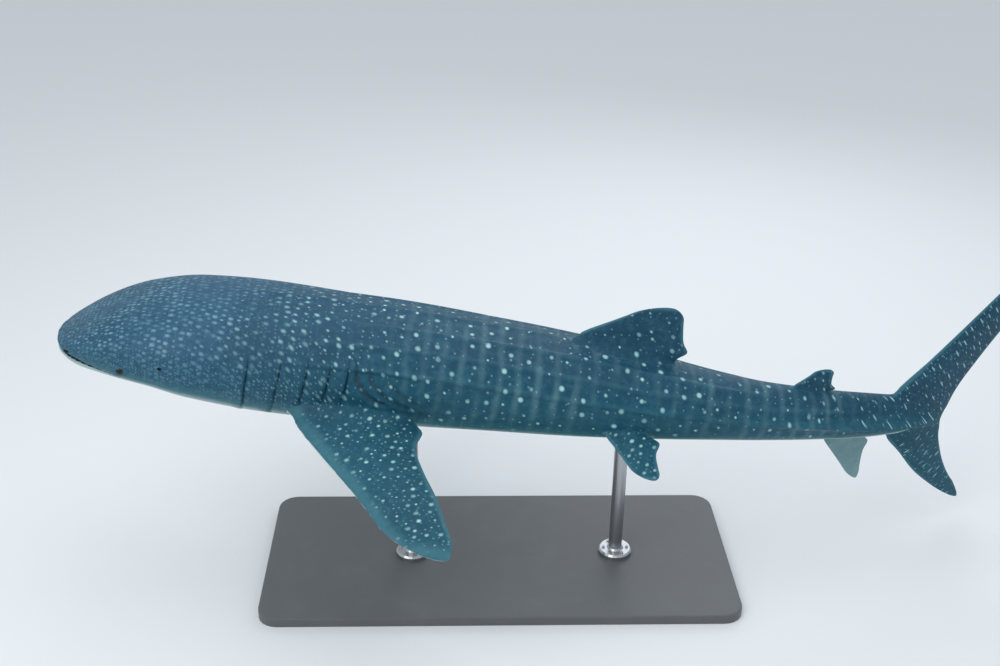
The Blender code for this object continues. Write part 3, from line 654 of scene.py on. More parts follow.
def tube(name, path, radii):
    """A closed tube along a path of points."""
    along = np.gradient(path, axis=0)
    along /= np.linalg.norm(along, axis=1)[:, None]
    rings = []
    for point, direction, radius in zip(path, along, radii):
        aside = np.cross(direction, (0, 0, 1))
        aside /= np.linalg.norm(aside)
        above = np.cross(aside, direction)
        turn = np.linspace(0, 2 * math.pi, LIP_SIDES, endpoint=False)
        rings.append(point + radius * (np.outer(np.cos(turn), aside) + np.outer(np.sin(turn), above)))
    return loft(name, rings, HEAD_TAG)


def lip_level(x, y, above):
    """Height of a lip's middle line in metres, over the mouth's opening or under it."""
    return mouth_line(x, y) + above * (gape(x) / 2 + LIP_RADIUS * LIP_PROUD)


def lip(name, above):
    """One lip round the snout, thick at the front and thin at the corners of the mouth."""
    flank = []
    for x in share(MOUTH_CORNER) * LIP_END * np.linspace(1, 0, LIP_STEPS) ** LIP_CROWDING:
        y = share(LIP_SEARCH_FROM)
        for _ in range(LIP_SEARCHES):
            level = lip_level(x, y, above)
            point = on_flank(x / TOTAL_LENGTH, 1, level / TOTAL_LENGTH, LIP_RADIUS * LIP_SUNK)
            y = point[1]
        flank.append(point)
    across = np.linspace(flank[-1][1], -flank[-1][1], LIP_FRONT_STEPS)[1:-1]
    front = [(LIP_RADIUS * LIP_PROUD, y, lip_level(0.0, y, above)) for y in across]
    path = np.concatenate([flank, front, np.array(flank[::-1]) * (1, -1, 1)])
    from_middle = abs(np.linspace(-1, 1, len(path)))
    return tube(name, path, LIP_RADIUS * (1 - LIP_THINNING * from_middle**3))


def eye_rim(centre, side):
    """A fleshy ring round the eye, lying flat on the flank."""
    circle = np.linspace(0, 2 * math.pi, RIM_SIDES, endpoint=False)
    rings = []
    for turn in np.linspace(0, 2 * math.pi, RIM_STEPS, endpoint=False):
        outward = np.array((math.cos(turn), 0, math.sin(turn)))
        middle = centre + eye_radius * (np.array(RIM_HALVES) * outward + (0, side * RIM_PROUD, 0))
        section = np.outer(np.cos(circle), outward) + np.outer(np.sin(circle), (0, side, 0))
        rings.append(middle + eye_radius * RIM_RADIUS * section)
    return loft("eye_rim", rings, HEAD_TAG, looped=True)


head_forms = [lip("upper_lip", 1), lip("lower_lip", -1)]
eye_radius = share(EYE_RADIUS)
eye_centres = {}
for side, word in SIDES:
    eye_centres[word] = on_flank(EYE_PLACE, side, EYE_Z, eye_radius * EYE_SUNK)
    mound = on_flank(EYE_PLACE, side, EYE_Z, eye_radius * MOUND_SUNK)
    head_forms.append(round_shape("mound", mound, [eye_radius * k for k in MOUND_RADII]))
    head_forms.append(eye_rim(eye_centres[word], side))
    flap = on_flank(NOSTRIL_PLACE, side, NOSTRIL_Z - FLAP_BELOW, FLAP_SUNK) - (FLAP_AHEAD, 0, 0)
    head_forms.append(round_shape("nostril_flap", flap, FLAP_RADII, side * NOSTRIL_TURN))
print("forms on the head:", len(head_forms))

# %% [markdown]
# A Boolean with the exact solver takes a whole collection at once. Its result is read from the
# evaluated object, and any loose scrap is dropped, so that the skin stays one closed surface.

# %% Join and cut
def apply_modifiers(obj):
    """Gives an object the mesh that its modifiers make of it."""
    made = bpy.data.meshes.new_from_object(obj.evaluated_get(bpy.context.evaluated_depsgraph_get()))
    obj.modifiers.clear()
    obj.data = made


def boolean(obj, operation, others):
    """Joins closed objects to obj, or cuts them from it, and removes them."""
    group = bpy.data.collections.new(operation)
    bpy.context.scene.collection.children.link(group)
    for other in others:
        bpy.context.scene.collection.objects.unlink(other)
        group.objects.link(other)
    modifier = obj.modifiers.new(operation, "BOOLEAN")
    modifier.operation = operation
    modifier.operand_type = "COLLECTION"
    modifier.collection = group
    modifier.solver = "EXACT"
    apply_modifiers(obj)
    for other in others:
        bpy.data.objects.remove(other, do_unlink=True)
    bpy.data.collections.remove(group)
    keep_largest_surface(obj)


def keep_largest_surface(obj):
    """Splits the faces of more than four corners into triangles and drops loose scraps."""
    work = bmesh.new()
    work.from_mesh(obj.data)
    bmesh.ops.triangulate(work, faces=[f for f in work.faces if len(f.verts) > 4])
    left, groups = set(work.faces), []
    while left:
        queue = [left.pop()]
        group = set(queue)
        while queue:
            near = {f for edge in queue.pop().edges for f in edge.link_faces} & left
            left -= near
            group |= near
            queue += near
        groups.append(group)
    groups.sort(key=len)
    scraps = [face for group in groups[:-1] for face in group]
    bmesh.ops.delete(work, geom=scraps, context="FACES")
    work.to_mesh(obj.data)
    work.free()


boolean(body, "UNION", [*fin_shapes, *head_forms])
print("faces after the union:", len(body.data.polygons))

# %% [markdown]
# A union leaves a hard crease where a fin meets the body, and flesh has none. The points near each
# crease are drawn towards their neighbours' average a few times, with full force at the crease
# and none a hand's width away. That rounds the joint like a fillet.

# %% Soften the joints
SOFT_CORE, SOFT_PULL = 0.1, 0.7


def values_of(items, name, kind, width=1):
    """One value or vector of each item of a mesh, as an array."""
    values = np.empty(len(items) * width, kind)
    items.foreach_get(name, values)
    return values.reshape(-1, width) if width > 1 else values


def tag_range(mesh, count, corner_item):
    """The lowest and the highest tag of the faces at each edge, or at each point, of a mesh."""
    tags, sizes = (values_of(mesh.polygons, name, np.int32) for name in ("material_index", "loop_total"))
    corners, corner_tags = values_of(mesh.loops, corner_item, np.int32), np.repeat(tags, sizes)
    low, high = np.full(count, TAG_COUNT), np.full(count, -1)
    np.minimum.at(low, corners, corner_tags)
    np.maximum.at(high, corners, corner_tags)
    return low, high


def soften(mesh, chosen_tags, reach, rounds, hold=()):
    """Smooths the mesh near the edges where a chosen tag meets another one."""
    points = values_of(mesh.vertices, "co", float, 3)
    edges = values_of(mesh.edges, "vertices", np.int32, 2)
    low, high = tag_range(mesh, len(edges), "edge_index")
    crease = (low != high) & (np.isin(low, chosen_tags) | np.isin(high, chosen_tags))
    crease &= ~(np.isin(low, hold) | np.isin(high, hold))
    seeds = np.unique(edges[crease])
    if not len(seeds):
        return 0
    tree = KDTree(len(seeds))
    for number, seed in enumerate(seeds):
        tree.insert(points[seed], number)
    tree.balance()
    near = np.full(len(points), reach)
    lowest, highest = points[seeds].min(0) - reach, points[seeds].max(0) + reach
    for k in np.flatnonzero(((points > lowest) & (points < highest)).all(1)):
        near[k] = tree.find(points[k])[2]
    weight = (1 - ease(SOFT_CORE * reach, reach, near))[:, None] * SOFT_PULL
    degree = np.bincount(edges.ravel(), minlength=len(points))[:, None]
    for _ in range(rounds):
        total = np.zeros_like(points)
        np.add.at(total, edges[:, 0], points[edges[:, 1]])
        np.add.at(total, edges[:, 1], points[edges[:, 0]])
        points = points + weight * (total / degree - points)
    mesh.vertices.foreach_set("co", points.ravel())
    mesh.update()
    return len(seeds)


# The fins of each kind, how far their joint's softness reaches in metres, and the rounds of smoothing
JOINT_SOFTNESS = (
    (("first_dorsal",), 0.080, 26), (("pectoral_left", "pectoral_right"), 0.100, 34),
    (("pelvic_left", "pelvic_right"), 0.045, 14), (("second_dorsal", "anal"), 0.040, 14),
    (("upper_lobe", "lower_lobe"), 0.050, 16),
)
HEAD_SOFTNESS, CUT_SOFTNESS = (0.022, 10), (0.006, 4)
for names, reach, rounds in JOINT_SOFTNESS:
    found = soften(body.data, [fin_facts[name]["tag"] for name in names], reach, rounds)
    print("softened", ", ".join(names), "at", found, "points")
found = soften(body.data, [HEAD_TAG], *HEAD_SOFTNESS, [facts["tag"] for facts in fin_facts.values()])
print("softened the head's forms at", found, "points")

# %% [markdown]
# The cuts come after the softening, so that the mouth's edge and the sockets stay clean. A second,
# much shorter softening then takes the knife edge off them.

# %% Cut the mouth, sockets, nostrils and spiracles
SLOT_HALF_WIDTH, SLOT_AHEAD, SLOT_LEAST = 0.1, 0.02, 0.0004
SLOT_ACROSS, SLOT_ALONG = 61, 26


def mouth_slot():
    """The mouth's opening: a wedge that closes at the corners of the mouth."""
    across = np.linspace(-share(SLOT_HALF_WIDTH), share(SLOT_HALF_WIDTH), SLOT_ACROSS)
    rings = []
    for x in (-share(SLOT_AHEAD), *(share(MOUTH_CORNER) * np.linspace(0, 1, SLOT_ALONG))):
        half = gape(x) / 2 + SLOT_LEAST
        middle = mouth_line(x, across)
        upper = np.column_stack([np.full_like(across, x), across, middle + half])
        lower = np.column_stack([np.full_like(across, x), across, middle - half])
        rings.append(np.concatenate([upper, lower[::-1]]))
    return loft("mouth_slot", rings, CUT_TAG)


HOLES = (("spiracle", SPIRACLE_PLACE, SPIRACLE_Z, SPIRACLE_RADII, 0.0),
         ("nostril", NOSTRIL_PLACE, NOSTRIL_Z, NOSTRIL_RADII, NOSTRIL_TURN))
cuts = [mouth_slot()]
for side, word in SIDES:
    cuts.append(round_shape("socket", eye_centres[word], (eye_radius + SOCKET_GAP,) * 3, 0, CUT_TAG))
    for name, place, z, radii, turn in HOLES:
        centre = on_flank(place, side, z)
        cuts.append(round_shape(name, centre, radii, side * turn, CUT_TAG, 32, 20))
boolean(body, "DIFFERENCE", cuts)
print("softened the cuts at", soften(body.data, [CUT_TAG], *CUT_SOFTNESS), "points")
print("faces of the skin:", len(body.data.polygons))

# %% [markdown]
# The markings follow the body, so every point of the skin gets its own coordinates for them while
# the body is still straight. One pair counts the columns and rows of pale spots. The spots are
# small and crowded on the snout and large and far apart on the flanks, so the count grows
# quickly at the front and slowly behind. More values say how deep a point lies in the pale belly,
# how near it is to a fin's margin, and how far along the body it is. The folds are pressed into the
# skin here too, because the place and angle of every point are at hand.

# %% Coordinates for the markings
# Place along the body, the spacing of the spots there in metres, and a spot's radius in spacings
SPOT_TABLE = (
    (-0.01, 0.019, 0.25), (0.03, 0.025, 0.25), (0.08, 0.035, 0.23), (0.14, 0.044, 0.205),
    (0.20, 0.055, 0.165), (0.27, 0.085, 0.115), (0.34, 0.108, 0.090), (0.50, 0.120, 0.086),
    (0.62, 0.110, 0.088), (0.74, 0.090, 0.10), (0.84, 0.072, 0.12), (1.00, 0.068, 0.12),
)
# Place along the body, and the angle from the back where the pale belly starts
BELLY_LINE = (
    (0.00, 100.0), (0.03, 106.0), (0.08, 114.0), (0.14, 119.0), (0.20, 123.0), (0.26, 126.0),
    (0.40, 130.0), (0.60, 133.0), (0.75, 136.0), (0.84, 141.0),
)
# Spacing and size of the spots on each kind of fin
FIN_SPOTS = {"pectoral": (0.062, 0.13), "first": (0.100, 0.085), "upper": (0.066, 0.12),
             "lower": (0.075, 0.11), "pelvic": (0.062, 0.13), "second": (0.070, 0.10), "anal": (0.090, 0.08)}
FIRST_FIN_COLUMN = 200.0
PALE_UNDERSIDES = ("pectoral", "pelvic")
MARGIN_REACH = 0.12
# How fast each margin of a pectoral fin, and of the other fins, is crossed: front, rear and tip
PECTORAL_MARGINS, OTHER_MARGINS = (0.60, 1.8, 0.6), (3.0, 2.6, 2.6)
# How deep in the pale belly the throat counts, and each kind of fin's back, its underside and the anal fin
JAW_PALE, FIN_BACK_PALE, FIN_UNDERSIDE_PALE, ANAL_PALE = 1.2, -3.0, 2.0, 0.45
FIN_COLUMNS_APART, FIN_COLUMN_LEAN = 17.0, 0.35
DEGREES_PER_PALE = 10
ARC_PLACES, ARC_STEPS = 160, 120
COUNT_FROM, COUNT_TO, COUNT_STEPS = -0.02, 1.02, 2081


def arc_table():
    """Distances round the body from the back's middle line, for a grid of places and angles."""
    rows = []
    for place in np.linspace(0, CORE_END, ARC_PLACES):
        _, _, y, z = bare_ring(place, np.linspace(0, math.pi, ARC_STEPS))
        rows.append(np.concatenate([[0], np.cumsum(np.hypot(np.diff(y), np.diff(z)))]))
    return np.array(rows)


def body_angle(points):
    """Angle of each point from the back's middle line, as the rings count it."""
    place = np.clip(points[:, 0] / TOTAL_LENGTH, 0, CORE_END)
    half, top, bottom, square = (station(place, column) for column in (HALF, TOP, BOTTOM, SQUARE))
    height = np.where(points[:, 2] > 0, top, bottom)
    across = (np.abs(points[:, 1]) / share(half)) ** (square / 2)
    up = np.sign(points[:, 2]) * (np.abs(points[:, 2]) / share(height)) ** (square / 2)
    return place, np.arctan2(across, up)


def arc_length(place, angle, table):
    """Distance round the body for each point, from the grid."""
    i = place / CORE_END * (ARC_PLACES - 1)
    j = angle / math.pi * (ARC_STEPS - 1)
    i0, j0 = np.clip(i.astype(int), 0, ARC_PLACES - 2), np.clip(j.astype(int), 0, ARC_STEPS - 2)
    u, v = i - i0, j - j0
    low = table[i0, j0] * (1 - v) + table[i0, j0 + 1] * v
    high = table[i0 + 1, j0] * (1 - v) + table[i0 + 1, j0 + 1] * v
    return low * (1 - u) + high * u


def spot_table(place):
    """Spacing and size of the spots at each place."""
    places, spacings, sizes = zip(*SPOT_TABLE)
    return np.interp(place, places, spacings), np.interp(place, places, sizes)


def column_count(place):
    """Number of spot columns from the snout to each place."""
    grid = np.linspace(COUNT_FROM, COUNT_TO, COUNT_STEPS)
    spacing = spot_table(grid)[0]
    count = np.concatenate([[0], np.cumsum(share(np.diff(grid)) / (spacing[1:] + spacing[:-1]) * 2)])
    return np.interp(place, grid, count)


print("columns of spots from the snout to the tail:", round(float(column_count(1.0))))

# %% Coordinates of every point, the folds pressed in and their painted shade
points = values_of(body.data.vertices, "co", float, 3)
low_tag, high_tag = tag_range(body.data, len(points), "vertex_index")
place, angle = body_angle(points)
true_place = points[:, 0] / TOTAL_LENGTH
around = arc_length(place, angle, arc_table()) * np.where(points[:, 1] < 0, -1, 1)
spacing, spot_size = spot_table(true_place)
spots = np.column_stack([column_count(true_place), around / spacing, spot_size])
pale = (np.degrees(angle) - np.interp(place, *zip(*BELLY_LINE))) / DEGREES_PER_PALE
on_jaw = (true_place < MOUTH_CORNER) & (points[:, 2] < mouth_line(points[:, 0], points[:, 1]))
pale[on_jaw] = np.maximum(pale[on_jaw], JAW_PALE)
margin = np.full(len(points), MARGIN_REACH)

folds = fold_sink(place, angle) * (low_tag == BODY_TAG)
points = points - values_of(body.data.vertices, "normal", float, 3) * folds[:, None]
# Painted shade in the folds' grooves, darker where a groove is deeper
fold_painted_shade = FOLD_PAINTED_SHADE * np.clip(folds / SKIN_FOLDS[0][1], 0, 1)
print("folds pressed in by up to", round(1000 * folds.max()), "mm")

# %% Markings on the fins
for name, facts in fin_facts.items():
    mine = high_tag == facts["tag"]
    local = points[mine] / TOTAL_LENGTH - facts["root"]
    out = local @ facts["span"]
    reach = abs(facts["table"][-1][0])
    above = local @ facts["flat"] + facts["droop"] * np.clip(out / reach, 0, 1) ** 2
    fin_out, fin_front, fin_rear = np.array(facts["table"]).T
    front, rear = np.interp(out, fin_out, fin_front), np.interp(out, fin_out, fin_rear)
    kind = name.split("_")[0]
    margins = PECTORAL_MARGINS if kind == "pectoral" else OTHER_MARGINS
    distances = (local[:, 0] - front, rear - local[:, 0], reach - out)
    edge = np.min([distance * rate for distance, rate in zip(distances, margins)], axis=0)
    fin_spacing, fin_spot = FIN_SPOTS[kind]
    offset = FIRST_FIN_COLUMN + FIN_COLUMNS_APART * facts["tag"]
    spots[mine, 0] = share(local[:, 0] + FIN_COLUMN_LEAN * out) / fin_spacing + offset
    spots[mine, 1] = share(out) / fin_spacing
    spots[mine, 2] = fin_spot
    margin[mine] = np.clip(share(edge), 0, MARGIN_REACH)
    underside = FIN_UNDERSIDE_PALE if kind in PALE_UNDERSIDES else FIN_BACK_PALE
    pale[mine] = ANAL_PALE if kind == "anal" else np.where(above < 0, underside, FIN_BACK_PALE)
    print(name, "has", int(mine.sum()), "points")
# Painted shade: full on the faces of the cuts (mouth, eye sockets, nostrils, spiracles), with the folds'
# painted shade added
recess_shade = ((low_tag == CUT_TAG) & (high_tag == CUT_TAG)) + fold_painted_shade

# %% [markdown]
# Now the straight fish is bent into its swimming pose. The spine is a curve: the head is tilted
# up a little, and the rear half swings to one side. Each point keeps its distance from the spine,
# so the solids and the skin bend in just the same way.

# %% Bend the body
SPINE_FROM, SPINE_TO, SPINE_STEPS = -0.02, 1.06, 541


def spine(at):
    """Points, right-hand and upward directions of the posed spine at some places."""
    grid = np.linspace(SPINE_FROM, SPINE_TO, SPINE_STEPS)
    swing = math.radians(TAIL_SWING_DEGREES) * ease(SWING_START, SWING_END, grid)
    swing = swing + math.radians(HEAD_TURN_DEGREES) * (1 - ease(0, HEAD_TURN_END, grid))
    nod = math.radians(SNOUT_NOD_DEGREES) * (1 - ease(0, SNOUT_NOD_END, grid))
    pitch = math.radians(HEAD_UP_DEGREES) - nod
    level, fall = np.cos(pitch), np.sin(pitch)
    along = np.column_stack([np.cos(swing) * level, np.sin(swing) * level, -fall])
    steps = (along[1:] + along[:-1]) / 2 * share(grid[1] - grid[0])
    line = np.concatenate([np.zeros((1, 3)), np.cumsum(steps, axis=0)])
    line -= [np.interp(PIVOT, grid, line[:, k]) for k in range(3)]
    right = np.column_stack([-np.sin(swing), np.cos(swing), np.zeros_like(grid)])
    up = np.cross(along, right)
    return [np.column_stack([np.interp(at, grid, values[:, k]) for k in range(3)])
            for values in (line, right, up)]


def posed(straight):
    """Straight points carried into the swimming pose, about the pivot."""
    line, right, up = spine(straight[:, 0] / TOTAL_LENGTH)
    return line + right * straight[:, 1:2] + up * straight[:, 2:3]


solid_eye = [(low + high) / 2 for low, high in zip(*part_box("eye_left"))]
bent_eye = posed(np.array([eye_centres["left"]]))[0]
lift = solid_eye[2] - bent_eye[2]
print("pivot height:", round(lift, 4), "m; eye off by",
      [round(1000 * (a - b), 2) for a, b in zip(solid_eye, bent_eye)][:2], "mm")


def in_world(straight):
    """Straight points in the room, at the height that the stand holds them."""
    return posed(np.asarray(straight, float)) + (0, 0, lift)


body.data.vertices.foreach_set("co", in_world(points).ravel())
body.data.update()

# %% Keep the coordinates on the mesh
SHARP_DEGREES = 50


def keep_vectors(mesh, name, values):
    """Stores three numbers for each point under a name that materials can read."""
    layer = mesh.attributes.new(name, "FLOAT_VECTOR", "POINT")
    layer.data.foreach_set("vector", np.ascontiguousarray(values, np.float32).ravel())


keep_vectors(body.data, "spots", spots)
keep_vectors(body.data, "shade", np.column_stack([pale, margin, true_place]))
# Painted shade of the cuts and folds, where the painted highlight along the ridges' crests goes, and the
# angle round the body
crests = sum(ridge_crest(ridge, place, angle) for ridge in RIDGES)
keep_vectors(body.data, "painted_light", np.column_stack([recess_shade, crests, angle / math.pi]))
body.data.shade_smooth()
body.data.set_sharp_from_angle(angle=math.radians(SHARP_DEGREES))
shown = in_world(points)
print("skin box:", [round(float(v), 3) for v in (*shown.min(0), *shown.max(0))])

# %% [markdown]
# Materials are sums and products over a surface, so they are written as Python sums. A small class
# wraps a shader socket and gives it the usual operators. One function makes any other node, here
# and later for the screws.

# %% Shader maths
class Signal:
    """A shader socket that can be used in a sum."""

    def __init__(self, shader, socket):
        self.shader, self.socket = shader, socket

    def math(self, operation, *values):
        made = self.shader.node("ShaderNodeMath", {"operation": operation}, [self, *values])
        return Signal(self.shader, made.outputs[0])

    def __add__(self, other):
        return self.math("ADD", other)

    def __sub__(self, other):
        return self.math("SUBTRACT", other)

    def __rsub__(self, other):
        return (self * -1.0) + other

    def __mul__(self, other):
        return self.math("MULTIPLY", other)

    def __truediv__(self, other):
        return self.math("DIVIDE", other)

    __radd__ = __add__
    __rmul__ = __mul__

    def step(self, low, high, to_low=0.0, to_high=1.0):
        """A smooth step between low and high."""
        settings = {"interpolation_type": "SMOOTHSTEP"}
        values = [self, low, high, to_low, to_high]
        made = self.shader.node("ShaderNodeMapRange", settings, values)
        return Signal(self.shader, made.outputs[0])


def fill(tree, socket, value):
    """Links a socket to another one, or sets its value."""
    if isinstance(value, Signal):
        value = value.socket
    if isinstance(value, bpy.types.NodeSocket):
        tree.links.new(value, socket)
    else:
        socket.default_value = value


def add_node(tree, kind, settings=None, values=()):
    """Makes a node, first its settings and then its inputs, by number or by name."""
    made = tree.nodes.new(kind)
    for key, value in (settings or {}).items():
        setattr(made, key, value)
    for key, value in values.items() if isinstance(values, dict) else enumerate(values):
        fill(tree, made.inputs[key], value)
    return made


class Shader:
    """One material's node tree, with helpers that keep the recipes short."""

    def __init__(self, name):
        self.material = bpy.data.materials.new(name)
        self.material.use_nodes = True
        self.tree = self.material.node_tree
        self.surface = self.tree.nodes["Principled BSDF"]

    def node(self, kind, settings=None, values=()):
        return add_node(self.tree, kind, settings, values)

    def out(self, node, name=0):
        return Signal(self, node.outputs[name])

    def attribute(self, name):
        """The three numbers of a named attribute."""
        found = self.node("ShaderNodeAttribute", {"attribute_name": name})
        split = self.node("ShaderNodeSeparateXYZ", None, [self.out(found, "Vector")])
        return [self.out(split, k) for k in range(3)]

    def vector(self, x, y, z=0.0):
        return self.out(self.node("ShaderNodeCombineXYZ", None, [x, y, z]))

    def place(self):
        """Object coordinates, in metres."""
        return self.out(self.node("ShaderNodeTexCoord"), "Object")

    def noise(self, scale, detail=2.0, roughness=0.5, at=None):
        values = {"Vector": at or self.place(), "Scale": scale, "Detail": detail, "Roughness": roughness}
        return self.out(self.node("ShaderNodeTexNoise", None, values), "Fac")

    def mix(self, factor, first, second):
        """A colour between two colours."""
        made = self.node("ShaderNodeMix", {"data_type": "RGBA"})
        for key, value in ((0, factor), (6, first), (7, second)):
            fill(self.tree, made.inputs[key], (*value, 1.0) if isinstance(value, tuple) else value)
        return self.out(made, 2)

    def bump(self, height, distance, strength=1.0, normal=None):
        values = {"Strength": strength, "Distance": distance, "Height": height}
        if normal:
            values["Normal"] = normal
        return self.out(self.node("ShaderNodeBump", None, values))

    def finish(self, **values):
        """Sets the surface's own sockets, with spaces written as underscores."""
        for key, value in values.items():
            fill(self.tree, self.surface.inputs[key.replace("_", " ")], value)
        return self.material


def give_material(obj, material):
    """Gives an object one material for all its faces."""
    obj.data.polygons.foreach_set("material_index", np.zeros(len(obj.data.polygons), np.int32))
    obj.data.materials.clear()
    obj.data.materials.append(material)


print("shader helpers ready")

# %% [markdown]
# The spots lie in loose columns. The surface is cut into cells by the two counts. In every cell a
# random number, which only depends on the cell, moves the spot off the middle, sizes it, and
# leaves a few out. Because the counts were made to follow the body, the spots stay round.

# %% Rows of spots
def cell_dice(shader, column, row):
    """Four random numbers that only depend on the cell."""
    cell = shader.vector(column.math("FLOOR"), row.math("FLOOR"))
    dice = shader.node("ShaderNodeTexWhiteNoise", {"noise_dimensions": "3D"}, [cell])
    split = shader.node("ShaderNodeSeparateColor", None, [shader.out(dice, "Color")])
    return [shader.out(split, k) for k in range(3)] + [shader.out(dice, "Value")]


def spot_layer(shader, column, row, size, loose, fullness, soft, longer=0.0, streak=0.0):
    """Brightness of the pale spots, 0 between them."""
    row = row + (column.math("FLOOR") * 0.37).math("FRACT")
    dice_x, dice_y, dice_z, dice = cell_dice(shader, column, row)
    dx = column.math("FRACT") - 0.5 - (dice_x - 0.5) * loose
    dy = row.math("FRACT") - 0.5 - (dice_y - 0.5) * loose
    dx, dy = (dx + dy * 0.6 * streak) * (1.0 + streak * 0.7), (dy - dx * 0.6 * streak) * (1.0 - streak * 0.5)
    dx, dy = dx * (1.0 - longer), dy * (1.0 + longer)
    distance = (dx * dx + dy * dy).math("SQRT")
    radius = size * (1.0 + (dice_z - 0.5) * (loose + 0.3))
    inside_spot = 1.0 - ((distance - radius) / (radius * soft)).step(-1.0, 1.0)
    there = 1.0 - (dice - fullness).step(0.0, 0.001)
    return inside_spot * there * (1.0 - dice_x * (loose + 0.1))


def bars(shader, column, at):
    """Faint pale bars round the body between the columns of spots, wavering and broken."""
    shifted = column + (shader.noise(1.6, 3.0, 0.6, at) - 0.5) * 1.1
    near = (shifted - shifted.math("ROUND")).math("ABSOLUTE")
    broken = shader.noise(2.4, 3.0, 0.6, at).step(0.36, 0.66)
    return (1.0 - near.step(0.02, 0.30)) * broken


print("spots ready")

# %% [markdown]
# The skin is slate blue over the back, greyer and lighter on the head and pale below. A museum
# model is painted and then sealed with a satin coat, so its gloss is even. Clouds of darker paint,
# a fine mottling and a painted highlight along the ridges' crests keep the large flanks from looking
# flat. Painted shade darkens the cuts and the grooves of the folds.

# %% Skin
BACK_BLUE = (0.007, 0.062, 0.112)
FLANK_BLUE = (0.005, 0.078, 0.122)
HEAD_BLUE = (0.020, 0.084, 0.152)
LOW_BLUE = (0.036, 0.155, 0.185)
CLOUD_BLUE = (0.003, 0.040, 0.070)
MOTTLE_PALE = (0.040, 0.155, 0.205)
SPOT_PALE = (0.36, 0.62, 0.62)
HEAD_SPOT = (0.125, 0.260, 0.345)
BELLY_WHITE = (0.40, 0.53, 0.54)
MARGIN_PALE = (0.050, 0.175, 0.215)
# Painted shade in the cuts and in the folds' grooves
RECESS_SHADE_GREY = (0.022, 0.040, 0.050)


def skin_material():
    shader = Shader("painted_shark_skin")
    column, row, size = shader.attribute("spots")
    pale, margin, along = shader.attribute("shade")
    painted_light, crest, angle = shader.attribute("painted_light")
    at = shader.place()
    on_head = 1.0 - along.step(0.12, 0.30)
    on_trunk = 1.0 - (column - (FIRST_FIN_COLUMN - 2.0)).step(0.0, 1.0)

    # The ground, its clouds and mottling, and a painted highlight along the crests of the ridges
    color = shader.mix(angle.step(0.20, 0.55), BACK_BLUE, FLANK_BLUE)
    color = shader.mix(on_head * (1.0 - angle.step(0.30, 0.62) * 0.4), color, HEAD_BLUE)
    color = shader.mix(shader.noise(1.5, 4.0, 0.6).step(0.40, 0.72) * 0.45, color, CLOUD_BLUE)
    mottle = shader.noise(26.0, 6.0, 0.75)
    color = shader.mix(mottle.step(0.47, 0.70) * 0.42, color, MOTTLE_PALE)
    color = shader.mix((1.0 - mottle.step(0.34, 0.50)) * 0.40, color, CLOUD_BLUE)
    # A painted highlight along the ridges' crests, in the mottling's pale colour
    color = shader.mix(crest * 0.30 * shader.noise(6.0, 3.0, 0.6).step(0.35, 0.65), color, MOTTLE_PALE)

    # Large and small spots, drawn out into streaks on the tail, and the bars between them
    streak = along.step(0.62, 0.78)
    loose = 0.60 - on_head * 0.08
    low_front = on_trunk * (1.0 - along.step(0.23, 0.29)) * angle.step(0.34, 0.50)
    inside_fin = margin.step(0.012, 0.060)
    main = spot_layer(shader, column, row, size, loose, 0.88, 0.60 + on_head * 0.25, on_head * 0.18, streak)
    patchy = on_head * shader.noise(4.0, 3.0, 0.6).step(0.42, 0.64)
    main = main * (1.0 - low_front * 0.55) * (1.0 - patchy * 0.55)
    fine = spot_layer(shader, column * 2.0 + 7.3, row * 2.0 + 3.1, size * 0.9, 0.6,
                      0.55 + low_front * 0.3, 0.8)
    fine = fine * (0.45 - on_head * 0.20 + low_front * 0.30)
    lines = bars(shader, column, at) * along.step(0.26, 0.36) * (1.0 - along.step(0.66, 0.80)) * on_trunk
    marks = main.math("MAXIMUM", fine).math("MAXIMUM", lines * 0.13) * inside_fin
    color = shader.mix(marks, color, shader.mix(on_head * 0.85, SPOT_PALE, HEAD_SPOT))

    # Paler margins of the fins, the pale belly, and painted shade in the cuts and the folds' grooves
    rim = 1.0 - (margin + (shader.noise(5.0, 4.0, 0.6) - 0.5) * 0.045).step(0.015, 0.070)
    color = shader.mix(rim * (0.35 + mottle * 0.5), color, MARGIN_PALE)
    belly_edge = pale + (shader.noise(3.0, 4.0, 0.6) - 0.5) * 1.2
    color = shader.mix(belly_edge.step(-2.0, 0.2) * 0.75, color, LOW_BLUE)
    color = shader.mix(belly_edge.step(-0.3, 1.6), color, BELLY_WHITE)
    # Painted shade in the cuts and in the folds' grooves
    color = shader.mix(painted_light, color, RECESS_SHADE_GREY)

    # A fine grain of tiny scales
    normal = shader.bump(shader.noise(420.0, 2.0, 0.6), 0.0007, 0.5)
    normal = shader.bump(mottle, 0.0015, 0.35, normal)
    return shader.finish(Base_Color=color, Roughness=0.50 + mottle * 0.12, Normal=normal,
                         Specular_IOR_Level=0.24, Coat_Weight=0.05, Coat_Roughness=0.35)


give_material(body, skin_material())
SKIN_NODES = [node for node in frame["nodes"] if not node.startswith(("eye_", "stand_"))]
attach(body, "root")
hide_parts(*SKIN_NODES)
print("the skin stands for", len(SKIN_NODES), "solids")

# %% [markdown]
# The eye is small, dark and round, set low behind the corner of the mouth. A glass eye shows a black
# pupil in a very dark iris under a glossy surface. The angle from the line of sight is stored on
# the ball, so the rings of colour stay centred.

# %% Eyes
IRIS_DARK, IRIS_PALE = (0.009, 0.008, 0.006), (0.028, 0.023, 0.016)
PUPIL_BLACK, EYE_GREY = (0.004, 0.004, 0.005), (0.015, 0.020, 0.024)
# Angles from the line of sight between which the pupil and the iris end, in radians
PUPIL_EDGE, IRIS_EDGE = (0.30, 0.34), (0.52, 0.60)


